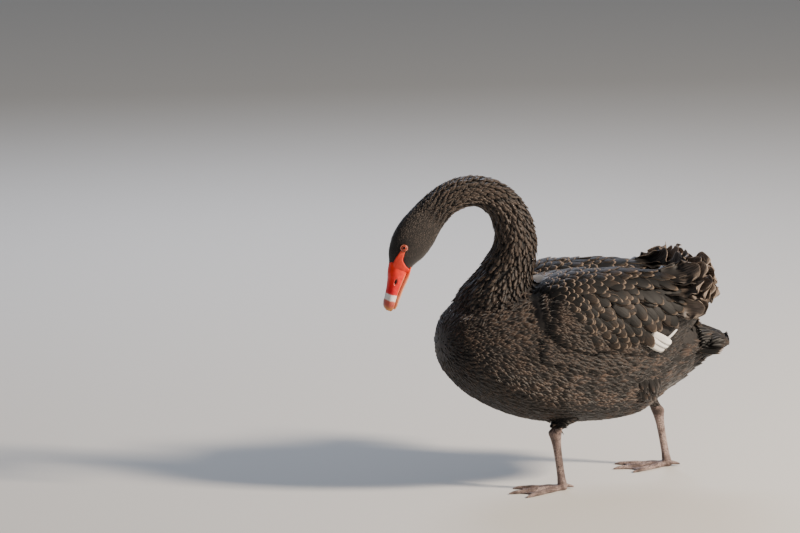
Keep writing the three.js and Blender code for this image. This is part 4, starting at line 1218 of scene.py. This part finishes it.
# %% Eyes
# Eye: a wet ball, dark pupil in a red-brown iris, with a small sharp highlight.
iris, iris_tree, iris_body = finish("eye_red_iris", Roughness=0.12, Coat_Weight=0.35, Coat_Roughness=0.03,
                                    IOR=1.33)
from_middle = add(iris_tree, "ShaderNodeAttribute", attribute_name="from_pupil").outputs["Fac"]
IRIS_RINGS = [  # share of the way from the pupil's middle to the iris' rim, and colour there
    (0.0, "#020101"), (0.27, "#030202"), (0.31, "#5c1a10"), (0.5, "#b0482e"), (0.72, "#94301c"),
    (0.86, "#4a140c"), (1.0, "#240a06"),
]
iris_tree.links.new(ramp(iris_tree, from_middle, IRIS_RINGS), iris_body.inputs["Base Color"])
# Eyelid: thin soft skin, pale orange-pink and finely wrinkled.
lid_skin, lid_tree, lid_body = finish("eyelid_skin_orange_pink", Roughness=0.5, Subsurface_Weight=0.1,
                                      Subsurface_Scale=0.003)
lid_spot = add(lid_tree, "ShaderNodeTexCoord").outputs["Object"]
lid_noise = add(lid_tree, "ShaderNodeTexNoise", {"Vector": lid_spot}, Scale=700.0,
                Detail=4.0).outputs["Fac"]
lid_tree.links.new(ramp(lid_tree, lid_noise, [(0.3, "#c8563c"), (0.55, "#e88e74"), (0.8, "#f2bcaa")]),
                   lid_body.inputs["Base Color"])
lid_bump = add(lid_tree, "ShaderNodeBump", {"Height": lid_noise}, Strength=0.5, Distance=0.0004)
lid_tree.links.new(lid_bump.outputs["Normal"], lid_body.inputs["Normal"])

EYE_RADIUS = 7.2  # millimetres
EYE_SUNK = 3.4  # how far the ball's middle lies under the skin, in millimetres
IRIS_RIM = math.radians(52)  # angle at the ball's middle from the pupil's middle to the iris' rim
LID_RADIUS, LID_THICK = 5.55, 0.95  # of the ring and of its bead, in millimetres
LID_ROWS, LID_COLUMNS = 80, 18

across_eye = math.sqrt(1 - (EYE_PLACE[1] / float(face_depth)) ** 2) * float(face_width)
for side, name in SIDES:
    skin_spot = np.array([EYE[0], side * across_eye * MM, EYE[2]])
    out = np.array([float(face_ox) * EYE_PLACE[1] / float(face_depth) ** 2,
                    side * across_eye / float(face_width) ** 2,
                    float(face_oz) * EYE_PLACE[1] / float(face_depth) ** 2])
    out = out / np.linalg.norm(out)
    first = unit(np.cross(out, [0.0, 0.0, 1.0]))
    second = np.cross(out, first)
    middle = skin_spot - out * EYE_SUNK * MM
    lat = np.linspace(0, math.pi, 40)[:, None]
    lon = np.linspace(0, 2 * math.pi, 56, endpoint=False)[None]
    ahead = np.cos(lat)[..., None] * out
    ball = middle + EYE_RADIUS * MM * (ahead + (np.sin(lat) * np.cos(lon))[..., None] * first
                                       + (np.sin(lat) * np.sin(lon))[..., None] * second)
    shape, quads = tube(ball[1:-1])
    off = np.append(np.repeat(lat[1:-1, 0] / IRIS_RIM, 56), [0, 3])
    eye = build("eyeball_" + name, shape, quads, iris, numbers={"from_pupil": np.clip(off, 0, 1)})
    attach(eye, "root")
    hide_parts("eye_" + name)
    around = np.linspace(0, 2 * math.pi, LID_ROWS, endpoint=False)[:, None]
    bead = np.linspace(0, 2 * math.pi, LID_COLUMNS, endpoint=False)[None]
    radius = LID_RADIUS + LID_THICK * np.cos(bead) + 0.12 * np.sin(around * 17)
    high = LID_THICK * np.sin(bead) + 0.7 + 0.1 * np.sin(around * 23)
    squash = 1 - 0.12 * np.abs(np.sin(around))
    ring = skin_spot + MM * ((radius * np.cos(around))[..., None] * first
                             + (radius * squash * np.sin(around))[..., None] * second
                             + high[..., None] * out)
    loop = wrap(LID_ROWS + 1, LID_COLUMNS) % (LID_ROWS * LID_COLUMNS)
    corners = ring.reshape(-1, 3)[loop[:, :3]]
    flip = np.einsum("ij,ij->i", corners[:, 0] - middle,
                     np.cross(corners[:, 1] - middle, corners[:, 2] - middle)).sum() < 0
    lid = build("eyelid_" + name, ring, loop[:, ::-1] if flip else loop, lid_skin)
    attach(lid, "root")
    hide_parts("head")
    print("eye", name, "at", skin_spot.round(3))

# %% [markdown]
# ## Legs and feet
# The shins are plated with scutes in front and small round scales elsewhere, the toes have bands of
# scutes, and a thin web joins the three front toes. The foot could be one grid, but it branches, so
# toes, web and joint are closed forms that melt into one by voxels. Modelled scales would cost many
# triangles at their size of about 3 mm, so one pattern of cells stands for all of them, as bump.

# %% Legs
# Legs: dull scaled skin, grey with pink patches, darker in the seams between scales.
leg_skin, leg_tree, leg_body = finish("leg_scaled_skin_grey_pink", Roughness=0.55, Specular_IOR_Level=0.35)
leg_spot = add(leg_tree, "ShaderNodeTexCoord").outputs["Object"]
leg_map = add(leg_tree, "ShaderNodeMapping", {"Vector": leg_spot})
leg_map.inputs["Scale"].default_value = (1.0, 1.0, 1.5)
scales = add(leg_tree, "ShaderNodeTexVoronoi", {"Vector": leg_map.outputs["Vector"]},
             feature="DISTANCE_TO_EDGE", Scale=300.0)
seam = add(leg_tree, "ShaderNodeMapRange", {"Value": scales.outputs["Distance"]}, From_Min=0.0,
           From_Max=0.14).outputs["Result"]
patches = add(leg_tree, "ShaderNodeTexNoise", {"Vector": leg_spot}, Scale=45.0, Detail=4.0).outputs["Fac"]
tone = ramp(leg_tree, patches, [(0.3, "#4a3d38"), (0.45, "#84706a"), (0.6, "#b09a92"), (0.8, "#c4aea4")])
seam_darkened = add(leg_tree, "ShaderNodeMix", {"Factor": seam, "B": tone}, data_type="RGBA")
seam_darkened.inputs["A"].default_value = linear("#2b221e")
leg_tree.links.new(seam_darkened.outputs["Result"], leg_body.inputs["Base Color"])
leg_bump = add(leg_tree, "ShaderNodeBump", {"Height": seam}, Strength=0.6, Distance=0.0006)
leg_tree.links.new(leg_bump.outputs["Normal"], leg_body.inputs["Normal"])

FOOT_VOXEL = 1.1 * MM  # size of the cells that melt a foot
TOES = [(-24, 84), (2, 98), (27, 90)]  # degrees outwards from straight ahead, and length
# Toe: share of its length, half width, half height.
TOE_SHAPE = [(0, 6.6, 5.8), (0.2, 5.2, 5.4), (0.45, 4.9, 4.6), (0.7, 4.6, 4.2), (0.88, 3.8, 3.6),
             (0.95, 2.6, 3.0), (1.03, 1.4, 1.8)]


def heading(side, turn):
    """Direction of a toe that turns outwards by some degrees from straight ahead."""
    angle = math.radians(turn)
    return np.array([-math.cos(angle), side * math.sin(angle)])


def between(start, end, share):
    """Point at a share of the way from start to end."""
    return start + (end - start) * share


def toe(side, joint, turn, size):
    """Toe with swollen pads at its joints, flat on the floor."""
    t = np.linspace(0, 1, 60)[:, None]
    angle = np.linspace(0, 2 * math.pi, 20, endpoint=False)[None]
    share, wide, high = np.moveaxis(curve(TOE_SHAPE, np.repeat(t, 20, 1)), -1, 0)
    pad = 1 + 0.10 * np.cos(share * 2 * math.pi * 3.2) * np.sqrt(np.clip(1 - share, 0, 1))
    ahead = heading(side, turn)
    square = np.array([-ahead[1], ahead[0]])
    out = wide * pad * np.cos(angle)
    up = high * pad * np.sin(angle)
    x = joint[0] + ahead[0] * share * size + square[0] * out
    y = joint[1] + ahead[1] * share * size + square[1] * out
    return place(x, y, np.maximum(high - 1 + up, 0.15))


def web(side, joint):
    """Web as a flat closed pad: its front edge sags between the toe tips."""
    turns = np.linspace(TOES[0][0], TOES[2][0], 41)
    sag = 1 - 0.15 * np.abs(np.sin((turns - TOES[1][0]) / 25.5 * math.pi)) ** 0.8
    far = np.interp(turns, [row[0] for row in TOES], [row[1] for row in TOES]) * 0.88 * sag
    ways = np.array([heading(side, turn) for turn in turns])
    share = np.linspace(0.12, 1, 24)
    flat = joint[None, None, :2] + ways[:, None] * (far[:, None] * share[None])[..., None]
    top = place(flat[..., 0], flat[..., 1], np.full(flat.shape[:2], 2.9))
    low = place(flat[..., 0], flat[..., 1], np.full(flat.shape[:2], 0.15))
    return np.concatenate([top, low[:, ::-1]], 1)


for name, (side, ankle, hock, root) in LEGS.items():
    joint = np.array(ankle, float)
    middle = np.array(hock, float)
    upper = middle + 0.16 * (np.array(root) - middle)
    stations = [
        (*between(joint, middle, -0.12), 7.6, 7.6), (*between(joint, middle, 0.0), 8.2, 7.3),
        (*between(joint, middle, 0.12), 7.2, 5.9), (*between(joint, middle, 0.3), 6.9, 5.4),
        (*between(joint, middle, 0.5), 7.0, 5.3), (*between(joint, middle, 0.7), 7.7, 5.8),
        (*between(joint, middle, 0.86), 9.6, 7.0), (*between(joint, middle, 0.97), 12.0, 8.7),
        (*between(middle, upper, 0.25), 11.6, 8.8), (*upper, 9.4, 8.0),
        (*(upper + (upper - middle) * 0.6), 8.6, 7.4),
    ]
    t = np.linspace(0, 1, 70)
    points, quads = tube(grid(limb, t, 32, stations))
    shin = build("scaled_shin_" + name, points, quads, leg_skin)
    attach(shin, "root")
    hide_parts("shank_" + name)
    foot_parts = [toe(side, joint, *row) for row in TOES] + [web(side, joint)]
    ball_stations = [(joint[0], joint[1], 0.4, 8.0, 7.6), (joint[0], joint[1], 5, 9.6, 8.8),
                     (joint[0], joint[1], 10, 8.6, 8.0), (*joint, 7.6, 7.2)]
    foot_parts.append(grid(limb, t[:20] / t[19], 24, ball_stations))
    inner = joint[1] - side * 5
    hallux = [(joint[0] + 2, inner, 7, 4.2, 4.2), (joint[0] + 12, inner, 6, 3.6, 3.4),
              (joint[0] + 24, inner, 3.2, 1.6, 1.8)]
    x, y, z, r, _ = np.moveaxis(curve(hallux, np.repeat(t[:20, None] / t[19], 14, 1)), -1, 0)
    spin = np.linspace(0, 2 * math.pi, 14, endpoint=False)[None]
    foot_parts.append(place(x, y + r * np.cos(spin), z + r * np.sin(spin)))
    foot_mesh, foot_points, _ = melted("foot_" + name, foot_parts, FOOT_VOXEL, 3)
    foot_points[:, 2] = np.maximum(foot_points[:, 2], 0.0)
    foot_mesh.vertices.foreach_set("co", foot_points.ravel())
    foot = clad("webbed_foot_" + name, foot_mesh, leg_skin)
    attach(foot, "root")
    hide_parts("foot_" + name)
    print("foot", name, len(foot_mesh.polygons), "faces")

# %% [markdown]
# ## Floor
# A pale matte floor stands in for a studio. Grass, as in the picture, would hide the feet. The floor is
# so wide that its edge lies beyond the picture.

# %% Floor
# Painted board: matte and pale, it takes soft shadows and no reflections.
floor_finish, _, floor_body = finish("studio_floor_matte_grey", Roughness=0.9)
floor_body.inputs["Base Color"].default_value = linear("#d9d7d2")
REACH = 30.0  # half the floor's side, in metres
floor_corners = [(-REACH, -REACH, 0), (REACH, -REACH, 0), (REACH, REACH, 0), (-REACH, REACH, 0)]
floor = build("floor", floor_corners, [(0, 1, 2, 3)], floor_finish)
print("floor", 2 * REACH, "m across")

# %% [markdown]
# ## Lights
# The light in the picture comes from the camera's right, so the breast falls into shade. A sun lamp
# would cut the shadows hard. A small strong softbox keeps them crisp but soft at the rim, with a weak
# fill and a light from behind that parts the dark back from the ground.

# %% Lights
world = bpy.data.worlds.new("studio")
world.use_nodes = True
world.node_tree.nodes["Background"].inputs["Color"].default_value = linear("#cfd8e6")
world.node_tree.nodes["Background"].inputs["Strength"].default_value = 0.28
bpy.context.scene.world = world


def softbox(name, place_at, aim, size_of, power_of, colour):
    """Square area light at a place, facing an aim."""
    lamp = bpy.data.lights.new(name, "AREA")
    lamp.shape = "SQUARE"
    lamp.size, lamp.energy = size_of, power_of
    lamp.color = linear(colour)[:3]
    holder = bpy.data.objects.new(name, lamp)
    bpy.context.scene.collection.objects.link(holder)
    holder.location = place_at
    holder.rotation_euler = (Vector(aim) - Vector(place_at)).to_track_quat("-Z", "Y").to_euler()


softbox("key", (3.2, -2.4, 2.6), (0, 0, 0.3), 0.7, 470.0, "#ffeeda")
softbox("fill", (-2.5, -3.0, 1.6), (0, 0, 0.3), 2.5, 7.0, "#e6efff")
softbox("rim", (0.5, 3.0, 2.6), (0, 0, 0.35), 1.6, 70.0, "#dfe9ff")
print("lights:", len(bpy.data.lights))

# %% [markdown]
# ## Camera
# The picture was taken from far away with a long lens. A near camera would swell the breast, so this one
# stands nine metres off, and its lens is worked out from the size of one pixel on the bird.

# %% Camera
AZIMUTH, ELEVATION, DISTANCE = math.radians(-20), math.radians(10), 9.0
back = np.array([math.sin(AZIMUTH) * math.cos(ELEVATION), -math.cos(AZIMUTH) * math.cos(ELEVATION),
                 math.sin(ELEVATION)])
right = np.array([math.cos(AZIMUTH), math.sin(AZIMUTH), 0.0])
above = np.cross(back, right)
PIXEL = 1.75 * MM  # one pixel of the photograph on the bird
PICTURE = (800, 533)  # its width and height in pixels
BODY_PIXEL = (583, 340)  # where the middle of the body lies in it, across and down
BODY_HEIGHT = 0.251  # the height of that point over the floor, in metres
step_right, step_up = PICTURE[0] / 2 - BODY_PIXEL[0], BODY_PIXEL[1] - PICTURE[1] / 2
target = np.array([SHIFT * MM, 0, BODY_HEIGHT]) + right * step_right * PIXEL + above * step_up * PIXEL
lens = bpy.data.cameras.new("camera")
lens.sensor_width = 36.0
lens.lens = lens.sensor_width * DISTANCE / (PICTURE[0] * PIXEL)
lens.clip_end = 100.0
camera = bpy.data.objects.new("camera", lens)
bpy.context.scene.collection.objects.link(camera)
camera.location = target + back * DISTANCE
camera.rotation_euler = Vector(back).to_track_quat("Z", "Y").to_euler()
bpy.context.scene.camera = camera
print("lens", round(lens.lens), "mm")
